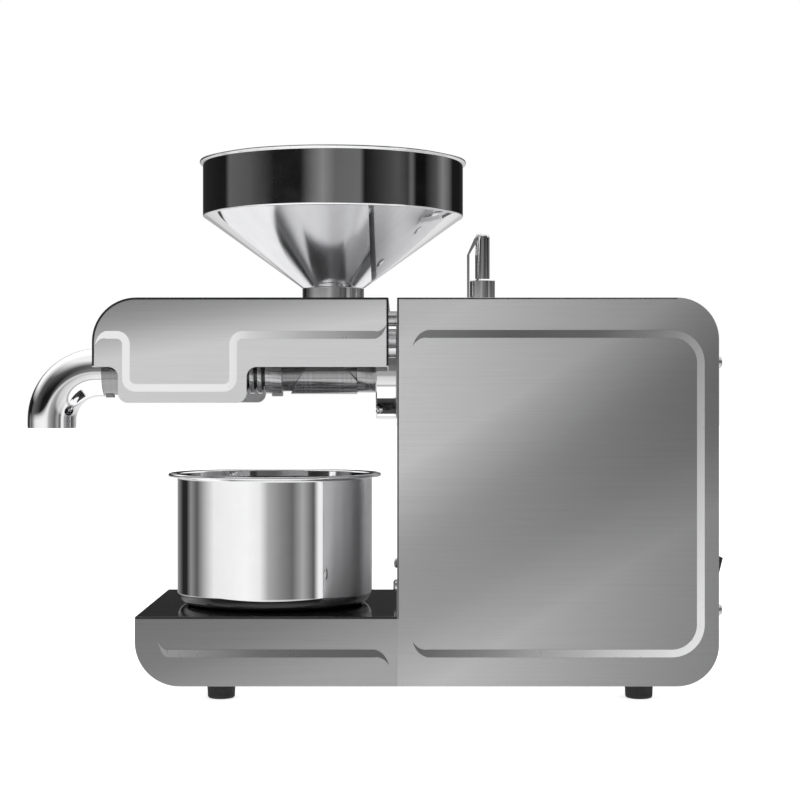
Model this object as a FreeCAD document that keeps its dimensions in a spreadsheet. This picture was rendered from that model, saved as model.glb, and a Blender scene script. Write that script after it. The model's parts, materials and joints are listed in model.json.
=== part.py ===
"""Household screw oil press: one parametric document, one body for each separate piece.

Lengths are millimetres. X runs along the pressing screw towards the drive housing, Y runs
from the front to the back, Z is up. The origin is on the table under the middle of the press.
"""
import FreeCAD, Part
import math
import os
import re
import Sketcher

Vector = FreeCAD.Vector
doc = FreeCAD.newDocument("ScrewOilPress")

# Driving sizes: name, value, what it measures
SIZES = [
    # Housing, base and hood, all made of the same sheet and equally deep
    ("body_depth", 165.0, "front to back of housing, base and hood"),
    ("sheet", 1.2, "thickness of the stainless sheet"),
    ("bulkhead_thickness", 2.5, "left wall of the housing, which carries the barrel seat"),
    ("foot_height", 10.2, "table to the underside of the sheet metal"),
    ("housing_length", 204.2, "left to right size of the housing"),
    ("housing_height", 246.6, "bottom to top of the housing"),
    ("housing_corner", 26.5, "outside radius of the two right-hand corners"),
    ("base_length", 166.3, "how far the base reaches out from the housing"),
    ("base_height", 42.7, "height of the base without the tray plate"),
    ("base_corner", 28.5, "radius of the base's lower left corner"),
    ("tray_thickness", 1.5, "black plate on the base"),
    ("hood_gap", 5.4, "gap between hood and housing"),
    ("hood_length", 188.0, "left to right size of the hood"),
    ("hood_height", 44.0, "straight part of the hood's side"),
    ("hood_corner", 28.0, "radius of the hood's upper left corner"),
    ("skirt_start", 16.5, "from the hood's left edge to its deeper middle"),
    ("skirt_length", 81.5, "length of the deeper middle"),
    ("skirt_depth", 22.8, "how much deeper the middle is"),
    ("skirt_corner", 6.3, "radius of the skirt's corners"),
    ("join_gap", 0.1, "gap left between a piece and the hole it drops into"),
    ("overcut", 1.0, "how far a cut runs past a surface, or a joint sinks into one"),
    # Feet
    ("foot_radius", 9.1, "rubber foot at its top"),
    ("foot_taper", 0.4, "how much narrower the foot is at the table"),
    ("foot_left", 113.3, "left feet, from the housing's left face"),
    ("foot_right", 155.9, "right feet, from the housing's left face"),
    ("foot_inset", 20.0, "feet behind the front face"),
    ("foot_recess", 4.5, "depth of the screw recess under a foot"),
    ("foot_recess_radius", 4.7, "screw recess under a foot"),
    # Small screws
    ("screw_radius", 2.0, "shank of the M4 screws"),
    ("screw_head", 3.7, "head radius of the M4 screws"),
    ("head_height", 2.4, "head height of the M4 screws"),
    ("screw_length", 8.0, "shank length of the M4 screws"),
    ("screw_crown", 1.1, "chamfer of the screw heads"),
    ("screw_reach", 1.0, "how far a screw stands out behind the last wall"),
    ("wall_screw_side", 6.0, "screws of the left wall inside the front and rear faces"),
    ("wall_screw_rise", 21.0, "screws of the left wall above the base"),
    # Pressing barrel
    ("axis_depth", 46.2, "axis of barrel and screw below the housing's top"),
    ("bore_radius", 10.6, "pressing bore"),
    ("shank_radius", 13.0, "barrel shank, held in the seat"),
    ("shank_length", 60.0, "barrel shank inside the housing"),
    ("slide_fit", 0.05, "radial clearance of sliding and turning fits"),
    ("seat_reach", 14.2, "seat flange in front of the housing"),
    ("neck_length", 13.0, "plain neck between the seat and the feed section"),
    ("neck_radius", 13.7, "plain neck"),
    ("feed_length", 50.4, "feed section"),
    ("feed_radius", 12.9, "barrel under the feed saddle"),
    ("collar_length", 7.4, "collar between feed and oil outlet"),
    ("rib_radius", 14.5, "outside of the outlet's ribs and of the collar"),
    ("groove_radius", 12.7, "bottom of the grooves between the ribs"),
    ("rib_pitch", 5.2, "one rib to the next"),
    ("groove_width", 2.3, "width of a groove"),
    ("rib_count", 16.0, "ribs of the oil outlet"),
    ("drain_half_width", 8.2, "half the chord of a drain slot"),
    ("drain_width", 1.15, "drain slot along the barrel"),
    ("spigot_radius", 12.4, "threaded end of the barrel under the end nut"),
    ("spigot_length", 12.0, "threaded end of the barrel"),
    ("key_width", 5.2, "locating key under the collar and under the nut"),
    ("key_height", 1.8, "how far a locating key stands out"),
    # Feed saddle and hopper
    ("saddle_radius", 14.8, "outside of the feed saddle's sleeve"),
    ("saddle_left_top", 19.5, "sleeve left of the feed axis, at the barrel axis height"),
    ("saddle_left_slope", 32.0, "lean of the sleeve's left end, degrees"),
    ("saddle_right_top", 11.0, "sleeve right of the feed axis, at the barrel axis height"),
    ("saddle_right_slope", 41.0, "lean of the sleeve's right end, degrees"),
    ("feed_offset", 43.5, "feed axis left of the housing"),
    ("port_radius", 8.2, "feed port into the bore"),
    ("cup_radius", 20.9, "outside of the feed cup and of the hopper's neck"),
    ("cup_bottom", 6.5, "underside of the feed cup above the barrel axis"),
    ("cup_top", 21.5, "rim of the feed cup above the barrel axis"),
    ("hopper_gap", 0.3, "hopper neck above the feed cup"),
    ("hopper_wall", 1.0, "sheet thickness of the hopper"),
    ("hopper_neck_rise", 10.8, "top of the neck above the housing"),
    ("hopper_cone_height", 47.6, "cone of the hopper"),
    ("hopper_band_height", 38.2, "upright band of the hopper with its lip"),
    ("hopper_band_radius", 88.1, "upright band of the hopper"),
    ("hopper_step", 1.4, "the cone stands this far inside the band"),
    ("hopper_lip", 2.1, "rolled lip outside the band"),
    ("hopper_lip_height", 2.2, "height of the rolled lip"),
    ("hopper_lip_round", 0.92, "rounding of the rolled lip"),
    ("hopper_seam", 1.2, "inside seam between band and cone"),
    # Nut, elbow and press screw
    ("nut_radius", 15.3, "end nut"),
    ("nut_length", 34.2, "end nut"),
    ("nut_throat", 9.6, "smallest radius of the cake passage in the nut"),
    ("nut_exit", 12.8, "cake passage where it leaves the nut"),
    ("throat_length", 5.0, "straight part of the cake passage"),
    ("flat_start", 2.0, "spanner flats behind the nut's face"),
    ("flat_length", 8.0, "spanner flats along the nut"),
    ("flat_depth", 1.0, "depth of the spanner flats on the nut"),
    ("elbow_wall", 0.95, "tube wall of the cake elbow"),
    ("elbow_bend", 32.4, "centreline bend radius of the elbow"),
    ("elbow_overlap", 3.8, "straight end of the elbow over the nut"),
    ("elbow_drop", 5.4, "straight end of the elbow at its mouth"),
    ("flight_radius", 10.3, "outside of the screw's flight"),
    ("flight_base", 5.0, "thickness of the flight at its root"),
    ("flight_tip", 2.2, "thickness of the flight at its edge"),
    ("flight_pitch", 15.0, "lead of the screw"),
    ("flight_lead", 6.0, "flight and full core beyond the feed port"),
    ("flight_inset", 5.0, "flight ends inside the barrel's end"),
    ("core_inset", 4.0, "core reaches its full size inside the barrel's end"),
    ("root_feed", 5.8, "screw core at the feed end"),
    ("root_press", 8.4, "screw core at the pressing end"),
    ("tip_radius", 4.2, "rounded cone end of the screw"),
    ("tip_inset", 6.0, "end of the screw inside the nut's end"),
    ("journal_radius", 8.0, "screw shaft in its bush"),
    ("bush_length", 16.0, "bronze bush in the barrel's shank"),
    ("bush_gap", 2.0, "journal of the screw in front of its bush"),
    ("tang_flat", 5.6, "half the width across the flats of the screw's hexagon"),
    ("tang_length", 15.0, "hexagon in the drive socket"),
    ("tang_gap", 1.0, "end of the hexagon before the bottom of its socket"),
    ("socket_fit", 0.1, "clearance of the hexagon in its socket"),
    # Barrel seat, heater and lock
    ("seat_radius", 31.5, "seat flange"),
    ("sleeve_radius", 20.5, "heated sleeve behind the flange"),
    ("seat_chamfer", 0.8, "chamfer of the seat flange"),
    ("seat_bolt_circle", 25.8, "radius on which the seat's screws lie"),
    ("plunger_radius", 1.7, "spring plunger in the seat flange"),
    ("plunger_angle", 54.0, "plunger below the horizontal, degrees"),
    ("plunger_length", 7.0, "plunger body"),
    ("plunger_ball", 1.0, "how far the plunger's ball stands out"),
    ("plunger_round", 1.5, "rounding of the plunger's ball"),
    ("heater_start", 10.0, "heater band behind the housing's left face"),
    ("heater_width", 34.0, "heater band"),
    ("heater_thickness", 4.0, "heater band"),
    ("heater_split", 3.0, "split of the heater band"),
    ("ear_height", 9.0, "clamping ears of the heater band"),
    ("ear_thickness", 3.0, "clamping ears of the heater band"),
    ("thermostat_radius", 7.5, "bimetal thermostat"),
    ("thermostat_height", 6.0, "bimetal thermostat"),
    ("terminal_height", 5.0, "blade terminals of the thermostat"),
    ("terminal_width", 3.2, "blade terminals of the thermostat"),
    ("terminal_thickness", 0.8, "blade terminals of the thermostat"),
    ("lock_offset", 57.9, "lock screw right of the housing's left face"),
    ("lock_bush_radius", 8.5, "threaded bush of the lock screw"),
    ("lock_bush_top", 16.8, "bush above the housing"),
    ("lock_bush_seat", 1.5, "how deep the bush stands in the sleeve"),
    ("lock_bush_chamfer", 1.0, "upper edge of the bush"),
    ("lock_stem_radius", 4.9, "stem of the lock screw"),
    ("lock_tip_radius", 3.0, "tip of the lock screw"),
    ("lock_tip_gap", 0.3, "tip above the barrel's shank"),
    ("lock_tip_rise", 1.0, "straight tip above the bottom of the bush"),
    ("lock_tip_taper", 2.0, "taper from the tip to the stem"),
    ("lock_dome", 4.7, "rounded top of the stem"),
    ("lock_height", 49.3, "top of the lock screw above the housing"),
    ("lever_thickness", 1.4, "bent grip plate of the lock screw"),
    ("lever_width", 8.0, "bent grip plate"),
    ("lever_reach", 8.9, "inside of the grip plate from the lock axis"),
    ("lever_bend", 33.8, "bend of the grip plate above the housing"),
    ("lever_top", 44.5, "where the grip plate leaves the stem, above the housing"),
    ("lever_clear", 2.0, "grip plate above the housing"),
    ("lever_root", 1.5, "how deep the grip plate is let into the stem"),
    # Bowl
    ("bowl_offset", 83.0, "bowl axis left of the housing"),
    ("bowl_radius", 66.0, "outside of the bowl's wall"),
    ("bowl_height", 88.2, "bowl with its rim"),
    ("bowl_wall", 0.9, "sheet thickness of the bowl"),
    ("bowl_corner", 9.0, "outside radius of the bowl's bottom"),
    ("bowl_rim", 6.2, "flanged rim outside the wall"),
    ("bowl_bead", 2.6, "height of the rim's turned-down bead"),
    ("bowl_bead_round", 1.15, "rounding of the bead"),
    ("bowl_gap", 0.1, "bowl above the tray plate"),
    # Drive
    ("gear_pressure", 25.0, "pressure angle of all gears, degrees"),
    ("module_slow", 1.75, "tooth module of the slow pair"),
    ("module_fast", 1.25, "tooth module of the fast pair"),
    ("pinion_teeth", 12.0, "both pinions"),
    ("output_teeth", 40.0, "gear on the output shaft"),
    ("idler_teeth", 52.0, "gear on the idler shaft"),
    ("backlash", 0.12, "backlash as a share of the module"),
    ("tooth_head", 0.9, "tooth above the pitch circle as a share of the module"),
    ("tooth_foot", 1.2, "tooth below the pitch circle as a share of the module"),
    ("slow_width", 14.0, "face width of the slow gear"),
    ("fast_width", 8.0, "face width of the fast gear"),
    ("gear_gap", 2.0, "side gap between gears and walls"),
    ("case_wall", 4.0, "wall of the gear case"),
    ("case_roof", 3.4, "upper wall of the gear case"),
    ("case_half_width", 43.0, "half the depth of the gear case"),
    ("case_top", 41.4, "top of the gear case above the output axis"),
    ("case_bottom", 17.0, "bottom of the gear case below the motor axis"),
    ("case_corner", 14.0, "corner radius of the gear case"),
    ("socket_radius", 12.0, "drive socket"),
    ("socket_gap", 1.5, "drive socket behind the barrel's shank"),
    ("output_radius", 8.5, "output shaft in its bearings"),
    ("idler_radius", 5.0, "idler shaft in its bearings"),
    ("motor_shaft_radius", 4.0, "motor shaft in its bearings"),
    ("bearing_section", 7.0, "bearing ring, bore to outside"),
    ("motor_radius", 38.0, "motor can"),
    ("bell_length", 6.0, "end bell of the motor"),
    ("can_wall", 2.5, "motor can"),
    ("bell_lip", 1.0, "lip of an end bell over its bearing"),
    ("rotor_gap", 3.0, "rotor pack inside the ends of the can"),
    ("rotor_radius", 22.0, "rotor pack"),
    ("fan_radius", 28.0, "cooling fan"),
    ("fan_hub", 8.0, "hub of the cooling fan"),
    ("fan_width", 8.0, "cooling fan"),
    ("fan_clear", 2.0, "cooling fan before the switch bodies"),
    ("fan_blades", 9.0, "blades of the cooling fan"),
    ("blade_thickness", 1.6, "fan blade"),
    ("stand_thickness", 2.5, "folded stand under motor and gear case"),
    ("stand_half_width", 34.0, "half the depth of the stand"),
    ("stand_drop", 14.0, "upper edges of the stand below the motor's axis"),
    # End plate and controls
    ("end_plate_low", 35.2, "end plate above the bottom of the housing"),
    ("end_plate_high", 28.9, "end plate below the top of the housing"),
    ("end_plate_inset", 7.0, "end plate behind the front face"),
    ("end_plate_corner", 3.5, "corners of the end plate"),
    ("end_screw_inset", 12.0, "end plate screws from its upper and lower edges"),
    ("end_screw_side", 5.0, "end plate screws from its front and back edges"),
    ("window_margin", 9.5, "service window inside the end plate's edges"),
    ("switch_height", 34.0, "rocker switch frame"),
    ("switch_width", 22.0, "rocker switch frame"),
    ("switch_frame", 1.8, "frame thickness in front of the end plate"),
    ("switch_border", 3.0, "border of the frame round the rocker"),
    ("switch_depth", 18.0, "switch body behind the end plate"),
    ("switch_pitch", 27.0, "one switch to the next"),
    ("switch_level", 67.8, "middle of the switches above the bottom of the housing"),
    ("switch_first", 29.0, "middle of the first switch behind the front face"),
    ("rocker_tilt", 7.0, "lean of a rocker to either side, degrees"),
    ("rocker_gap", 0.5, "rocker beside its frame"),
    ("rocker_end_gap", 1.5, "rocker inside its frame at the upper and lower end"),
    ("rocker_rise", 0.3, "middle of a rocker in front of its frame"),
    ("rocker_root", 4.0, "rocker behind its pivot"),
    ("rocker_rim", 0.5, "lower edge of the rocker's ends in front of its pivot"),
    ("pivot_depth", 2.5, "rocker pivot behind the frame's face"),
    ("inlet_width", 28.0, "mains inlet flange, across"),
    ("inlet_height", 40.0, "mains inlet flange, upright"),
    ("inlet_flange", 1.8, "mains inlet flange"),
    ("inlet_depth", 16.0, "mains inlet body behind the end plate"),
    ("inlet_wall", 3.0, "wall round the inlet's socket"),
    ("inlet_back", 31.0, "middle of the inlet in front of the rear face"),
    ("contact_width", 4.0, "contact blades of the inlet"),
    ("contact_thickness", 2.0, "contact blades of the inlet"),
    ("contact_spread", 4.0, "outer contact blades beside the middle one"),
    ("contact_length", 13.0, "contact blades of the inlet"),
    ("louvre_length", 46.0, "ventilation slot in the rear panel"),
    ("louvre_width", 3.2, "ventilation slot in the rear panel"),
    ("louvre_pitch", 9.0, "one ventilation slot to the next"),
    ("louvre_count", 8.0, "ventilation slots in a column"),
    ("board_length", 70.0, "control board"),
    ("board_width", 46.0, "control board"),
    ("board_thickness", 1.6, "control board"),
    ("board_rise", 8.0, "control board above the housing's floor"),
    ("board_start", 14.0, "control board behind the housing's left face"),
    ("board_post", 3.0, "posts of the control board"),
    ("board_post_inset", 4.0, "posts inside the board's edges"),
    ("relay_start", 10.0, "first relay from the board's left edge"),
    ("relay_pitch", 19.0, "one relay to the next"),
    ("relay_length", 14.0, "relay block"),
    ("relay_width", 18.0, "relay block"),
    ("relay_height", 14.0, "relay block"),
    ("hood_screw_inset", 24.0, "hood fixings inside the front and rear faces"),
    ("hood_screw_level", 12.0, "hood fixings below the top"),
    ("spacer_radius", 4.5, "spacers between hood and housing"),
    ("pipe_gap", 1.0, "hood's left cut-out beside and below the elbow"),
]

# Sizes that follow from the driving ones
DERIVED = {
    "rocker_half": "switch_height / 2 - switch_border - rocker_end_gap",
    "rocker_end": "pivot_depth + rocker_rise + rocker_half * tan(rocker_tilt)",
    "rocker_reach": "rocker_end * cos(rocker_tilt) + rocker_half * sin(rocker_tilt) - pivot_depth",
    "right_reach": "housing_length + sheet + switch_frame + rocker_reach",
    "left_reach": "elbow_x + elbow_bend + nut_radius + slide_fit + elbow_wall",
    "house_x": "(left_reach - right_reach) / 2",
    "housing_top": "foot_height + housing_height",
    "axis_height": "housing_top - axis_depth",
    "axis_level": "housing_height - axis_depth",
    "hopper_neck_top": "housing_top + hopper_neck_rise",
    "hopper_cone_top": "hopper_neck_top + hopper_cone_height",
    "hopper_rim": "hopper_cone_top + hopper_band_height",
    "half_depth": "body_depth / 2",
    "through_sheet": "4 * sheet",
    "inner_depth": "body_depth - 2 * sheet",
    "hood_x": "house_x - hood_gap - hood_length",
    "hood_low": "housing_top - hood_height",
    "tray_top": "foot_height + base_height + tray_thickness",
    "neck_end": "seat_reach + neck_length",
    "feed_end": "neck_end + feed_length",
    "outlet_start": "feed_end + collar_length",
    "outlet_end": "outlet_start + rib_count * rib_pitch",
    "barrel_end": "outlet_end + spigot_length",
    "nut_end": "outlet_end + nut_length",
    "elbow_x": "nut_end",
    "elbow_outer": "nut_radius + slide_fit + elbow_wall",
    "seat_depth": "shank_length + socket_gap",
    "socket_start": "shank_length + socket_gap",
    "case_start": "socket_start + tang_length + case_wall",
    "slow_start": "case_start + case_wall + gear_gap",
    "fast_start": "slow_start + slow_width + gear_gap",
    "cover_start": "fast_start + fast_width + gear_gap",
    "motor_start": "cover_start + case_wall",
    "can_start": "motor_start + bell_length",
    "fan_start": "housing_length - switch_depth - fan_clear - fan_width",
    "motor_end": "fan_start - gear_gap",
    "can_end": "motor_end - bell_length",
    "motor_length": "can_end - can_start",
    "slow_centres": "module_slow * (pinion_teeth + output_teeth) / 2",
    "fast_centres": "module_fast * (pinion_teeth + idler_teeth) / 2",
    "idler_height": "axis_height - slow_centres",
    "motor_height": "idler_height - fast_centres",
    "floor_height": "foot_height + sheet",
    "lock_x": "house_x + lock_offset",
    "end_plate_half": "half_depth - end_plate_inset",
    "end_plate_top": "housing_height - end_plate_high",
    "switch_top": "switch_level + switch_height / 2",
    "louvre_column": "louvre_pitch * (louvre_count - 1) + louvre_width",
    "vent_low": "(switch_top + end_plate_top - louvre_column) / 2",
    "end_x": "house_x + housing_length",
}

sheet = doc.addObject("Spreadsheet::Sheet", "Dims")
for row, (alias, value, note) in enumerate(SIZES, start=1):
    sheet.set(f"A{row}", alias)
    sheet.set(f"B{row}", str(value))
    sheet.set(f"C{row}", note)
    sheet.setAlias(f"B{row}", alias)
doc.recompute()
ALIASES = {alias for alias, value, note in SIZES}
nodes = []


# Formulas and small helpers

def formula(text):
    """The formula with sheet references in place of the plain names of sizes."""
    def reference(match):
        word = match.group(0)
        if word in ALIASES:
            return f"Dims.{word}"
        if word in DERIVED:
            return f"({formula(DERIVED[word])})"
        return word
    return re.sub(r"[a-z][a-z_]*[a-z]", reference, str(text))


def number(text):
    """The present value of a formula."""
    return float(sheet.evalExpression(formula(text)))


def point(along, across, up):
    return Vector(number(along), number(across), number(up))


def new_body(name, x="0", y="0", z="0"):
    body = doc.addObject("PartDesign::Body", name)
    body.Label = name
    place(body, x, y, z)
    nodes.append(body)
    return body


def place(thing, x, y, z):
    for axis, value in (("x", x), ("y", y), ("z", z)):
        thing.setExpression(f"Placement.Base.{axis}", formula(value))


def new_sketch(body, plane, offset="0"):
    """A sketch on one of the body's own planes, moved along the plane's normal."""
    sketch = body.newObject("Sketcher::SketchObject", f"{body.Name}_{plane}")
    origin_plane = next(item for item in body.Origin.OriginFeatures if item.Role == f"{plane}_Plane")
    sketch.AttachmentSupport = [(origin_plane, "")]
    sketch.MapMode = "FlatFace"
    sketch.setExpression("AttachmentOffset.Base.z", formula(offset))
    return sketch


def bind(sketch, constraint, expression):
    index = sketch.addConstraint(constraint)
    sketch.setExpression(f"Constraints[{index}]", formula(expression))


def pin(sketch, geometry, vertex, place_at):
    """Tie one vertex of a sketch to its place, given as two formulas."""
    for kind, expression in zip(("DistanceX", "DistanceY"), place_at):
        bind(sketch, Sketcher.Constraint(kind, -1, 1, geometry, vertex, number(expression)), expression)


def draw_outline(sketch, corners):
    """A closed outline of straight lines through the corners."""
    first = sketch.GeometryCount
    spots = [Vector(number(x), number(y), 0) for x, y in corners]
    count = len(spots)
    for index in range(count):
        sketch.addGeometry(Part.LineSegment(spots[index], spots[(index + 1) % count]))
    for index in range(count):
        following = first + (index + 1) % count
        sketch.addConstraint(Sketcher.Constraint("Coincident", first + index, 2, following, 1))
    for index, corner in enumerate(corners):
        pin(sketch, first + index, 1, corner)


def draw_rectangle(sketch, left, low, right, high):
    draw_outline(sketch, [(left, low), (right, low), (right, high), (left, high)])


def draw_circles(sketch, centres, radius):
    for x, y in centres:
        middle = Vector(number(x), number(y), 0)
        circle = sketch.addGeometry(Part.Circle(middle, Vector(0, 0, 1), number(radius)))
        pin(sketch, circle, 3, (x, y))
        bind(sketch, Sketcher.Constraint("Radius", circle, number(radius)), radius)


def pad(body, sketch, length, symmetric=False, backwards=False):
    feature = body.newObject("PartDesign::Pad", f"{body.Name}_pad")
    feature.Profile = sketch
    feature.setExpression("Length", formula(length))
    feature.SideType = "Symmetric" if symmetric else "One side"
    feature.Reversed = backwards
    return feature


def pocket(body, sketch, length, symmetric=False, backwards=False):
    feature = body.newObject("PartDesign::Pocket", f"{body.Name}_pocket")
    feature.Profile = sketch
    feature.setExpression("Length", formula(length))
    feature.SideType = "Symmetric" if symmetric else "One side"
    feature.Reversed = backwards
    return feature


def drill(body, plane, centres, radius, depth, offset="0"):
    """Round holes cut both ways from a plane."""
    sketch = new_sketch(body, plane, offset)
    draw_circles(sketch, centres, radius)
    return pocket(body, sketch, depth, symmetric=True)


def revolve(body, sketch, axis, cut=False):
    kind = "Groove" if cut else "Revolution"
    feature = body.newObject(f"PartDesign::{kind}", f"{body.Name}_{kind.lower()}")
    feature.Profile = sketch
    feature.ReferenceAxis = (sketch, [axis])
    feature.Angle = 360
    return feature


def dress(body, kind, size_name, size, targets, radius=None, reach=0.05):
    """Fillet or chamfer the edges whose middles lie at the targets, or the circles of one radius."""
    doc.recompute()
    base = body.Tip
    length = None if radius is None else 2 * math.pi * number(radius)
    names = [f"Edge{index}" for index, edge in enumerate(base.Shape.Edges, start=1)
             if any(edge.CenterOfMass.distanceToPoint(spot) < reach for spot in targets)
             and (length is None or abs(edge.Length - length) < reach)]
    if not names:
        raise ValueError(f"{body.Name}: no edge to dress")
    feature = body.newObject(f"PartDesign::{kind}", f"{body.Name}_{kind.lower()}")
    feature.Base = (base, names)
    feature.setExpression(size_name, formula(size))
    return feature


def fillet(body, size, targets, radius=None):
    return dress(body, "Fillet", "Radius", size, targets, radius)


def chamfer(body, size, targets, radius=None):
    return dress(body, "Chamfer", "Size", size, targets, radius)


def repeat(body, feature, sketch, axis, step, count):
    """Copies of a feature in a row; the step may be negative."""
    pattern = body.newObject("PartDesign::LinearPattern", f"{body.Name}_row")
    pattern.Originals = [feature]
    pattern.Direction = (sketch, [axis])
    pattern.Reversed = number(step) < 0
    pattern.Mode = "Spacing"
    pattern.setExpression("Offset", formula(f"abs({step})"))
    pattern.setExpression("Occurrences", formula(count))
    body.Tip = pattern
    return pattern


def turned(name, x, y, z, profile, axis="X"):
    """A turned piece; its profile runs through (along, radius) for X or (radius, height) for Z."""
    body = new_body(name, x, y, z)
    sketch = new_sketch(body, "XZ")
    draw_outline(sketch, profile)
    revolve(body, sketch, "H_Axis" if axis == "X" else "V_Axis")
    return body


def ring_stack(name, x, y, z, rings):
    """Separate plain rings along X, each given as start, end, inner and outer radius."""
    body = new_body(name, x, y, z)
    sketch = new_sketch(body, "XZ")
    for start, end, inner, outer in rings:
        draw_rectangle(sketch, start, inner, end, outer)
    revolve(body, sketch, "H_Axis")
    return body


def screws(name, x, y, z, plane, centres, head_side, length="screw_length"):
    """Pan head screws in one plane: heads stand on the plane, shanks go the other way."""
    body = new_body(name, x, y, z)
    shanks = new_sketch(body, plane)
    draw_circles(shanks, centres, "screw_radius")
    pad(body, shanks, length, backwards=head_side > 0)
    heads = new_sketch(body, plane)
    draw_circles(heads, centres, "screw_head")
    pad(body, heads, "head_height", backwards=head_side < 0)
    crowns = [PLANE_POINT[plane](x, y, f"{head_side} * head_height") for x, y in centres]
    chamfer(body, "screw_crown", crowns, "screw_head")
    return body


PLANE_POINT = {
    "XY": lambda x, y, out: point(x, y, out),
    "XZ": lambda x, y, out: point(x, f"-({out})", y),
    "YZ": lambda x, y, out: point(out, x, y),
}


def side_corners(*corners):
    """Middles of the edges that run front to back through the given (x, z) corners."""
    return [point(x, 0, z) for x, z in corners]


# Housing

def panel(name, x, z, outline, corners, radius, rear):
    """A front or rear panel: the outline padded by the sheet, with some corners rounded."""
    body = new_body(name, x, "0", z)
    near_face = "-half_depth" if rear else "half_depth - sheet"
    sketch = new_sketch(body, "XZ", near_face)
    draw_outline(sketch, outline)
    pad(body, sketch, "sheet")
    depth = "half_depth - sheet / 2" if rear else "-half_depth + sheet / 2"
    fillet(body, radius, [point(cx, depth, cz) for cx, cz in corners])
    return body


HOUSING_OUTLINE = [("0", "0"), ("housing_length", "0"), ("housing_length", "housing_height"),
                   ("0", "housing_height")]
HOUSING_CORNERS = HOUSING_OUTLINE[1:3]


def housing_front_panel():
    panel("housing_front_panel", "house_x", "foot_height", HOUSING_OUTLINE, HOUSING_CORNERS,
          "housing_corner", rear=False)


def housing_rear_panel():
    """The rear panel has two columns of ventilation slots behind the motor."""
    body = panel("housing_rear_panel", "house_x", "foot_height", HOUSING_OUTLINE, HOUSING_CORNERS,
                 "housing_corner", rear=True)
    slot = new_sketch(body, "XZ", "-half_depth")
    left = "motor_start - louvre_length / 2"
    low = "motor_height - foot_height - louvre_pitch * louvre_count / 2"
    for column in range(2):
        start = f"{left} + {column} * (louvre_length + louvre_pitch)"
        draw_rectangle(slot, start, low, f"{start} + louvre_length", f"{low} + louvre_width")
    cut = pocket(body, slot, "2 * sheet", symmetric=True)
    repeat(body, cut, slot, "V_Axis", "louvre_pitch", "louvre_count")


def wrap_window(body, plane, offset, outline):
    """A rectangular opening through a wall of the body that lies on the given plane."""
    sketch = new_sketch(body, plane, offset)
    draw_rectangle(sketch, *outline)
    pocket(body, sketch, "through_sheet", symmetric=True)


def housing_wrap():
    """One sheet folded over the top, round the right-hand corners and back under the housing."""
    body = new_body("housing_wrap", "house_x", "0", "foot_height")
    outer = new_sketch(body, "XZ")
    draw_outline(outer, HOUSING_OUTLINE)
    pad(body, outer, "inner_depth", symmetric=True)
    inner = new_sketch(body, "XZ")
    draw_rectangle(inner, "0", "sheet", "housing_length - sheet", "housing_height - sheet")
    pocket(body, inner, "inner_depth", symmetric=True)
    fillet(body, "housing_corner - sheet",
           side_corners(("housing_length - sheet", "sheet"),
                        ("housing_length - sheet", "housing_height - sheet")))
    fillet(body, "housing_corner", side_corners(*HOUSING_CORNERS))
    wrap_window(body, "YZ", "housing_length",
                ("-end_plate_half + window_margin", "end_plate_low + window_margin",
                 "end_plate_half - window_margin", "end_plate_top - window_margin"))
    drill(body, "XY", [("lock_offset", "0")], "lock_bush_radius + join_gap", "through_sheet",
          "housing_height")
    drill(body, "XY", TOP_SCREWS, SCREW_HOLE, "through_sheet", "housing_height")
    drill(body, "XY", [("foot_right", y) for y in FOOT_ROWS], SCREW_HOLE, "through_sheet")
    drill(body, "YZ", END_SCREWS, SCREW_HOLE, "through_sheet", "housing_length")


SCREW_HOLE = "screw_radius + join_gap"
FOOT_ROWS = ("-half_depth + foot_inset", "half_depth - foot_inset")
TOP_SCREWS = [("lock_offset - lock_bush_radius - screw_head", "lever_reach + 2 * screw_head"),
              ("bulkhead_thickness + screw_radius + join_gap", "0")]
END_SCREWS = [(f"{side} * (end_plate_half - end_screw_side)", level)
              for side in (-1, 1)
              for level in ("end_plate_low + end_screw_inset", "end_plate_top - end_screw_inset")]


def bulkhead():
    """The housing's left wall, between the panels, with the seat hole and the fixing holes."""
    body = new_body("bulkhead", "house_x", "0", "foot_height")
    wall = new_sketch(body, "YZ")
    draw_rectangle(wall, "-inner_depth / 2", "sheet", "inner_depth / 2", "housing_height - sheet")
    pad(body, wall, "bulkhead_thickness")
    drill(body, "YZ", [("0", "axis_level")], "sleeve_radius + join_gap", "4 * bulkhead_thickness")
    screw_places = SEAT_SCREWS + HOOD_SCREWS + BASE_SCREWS + WALL_SCREWS
    drill(body, "YZ", screw_places, SCREW_HOLE, "4 * bulkhead_thickness")


SEAT_SCREWS = [(f"seat_bolt_circle * cos({angle})", f"axis_level + seat_bolt_circle * sin({angle})")
               for angle in (0, 90, 180, 270)]
HOOD_SCREWS = [(f"{side} * (half_depth - hood_screw_inset)", "housing_height - hood_screw_level")
               for side in (-1, 1)]
BASE_SCREWS = [(f"{side} * (half_depth - foot_inset)", "base_height / 2") for side in (-1, 1)]
WALL_SCREWS = [(f"{side} * (half_depth - wall_screw_side)", "base_height + wall_screw_rise")
               for side in (-1, 1)]


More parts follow.
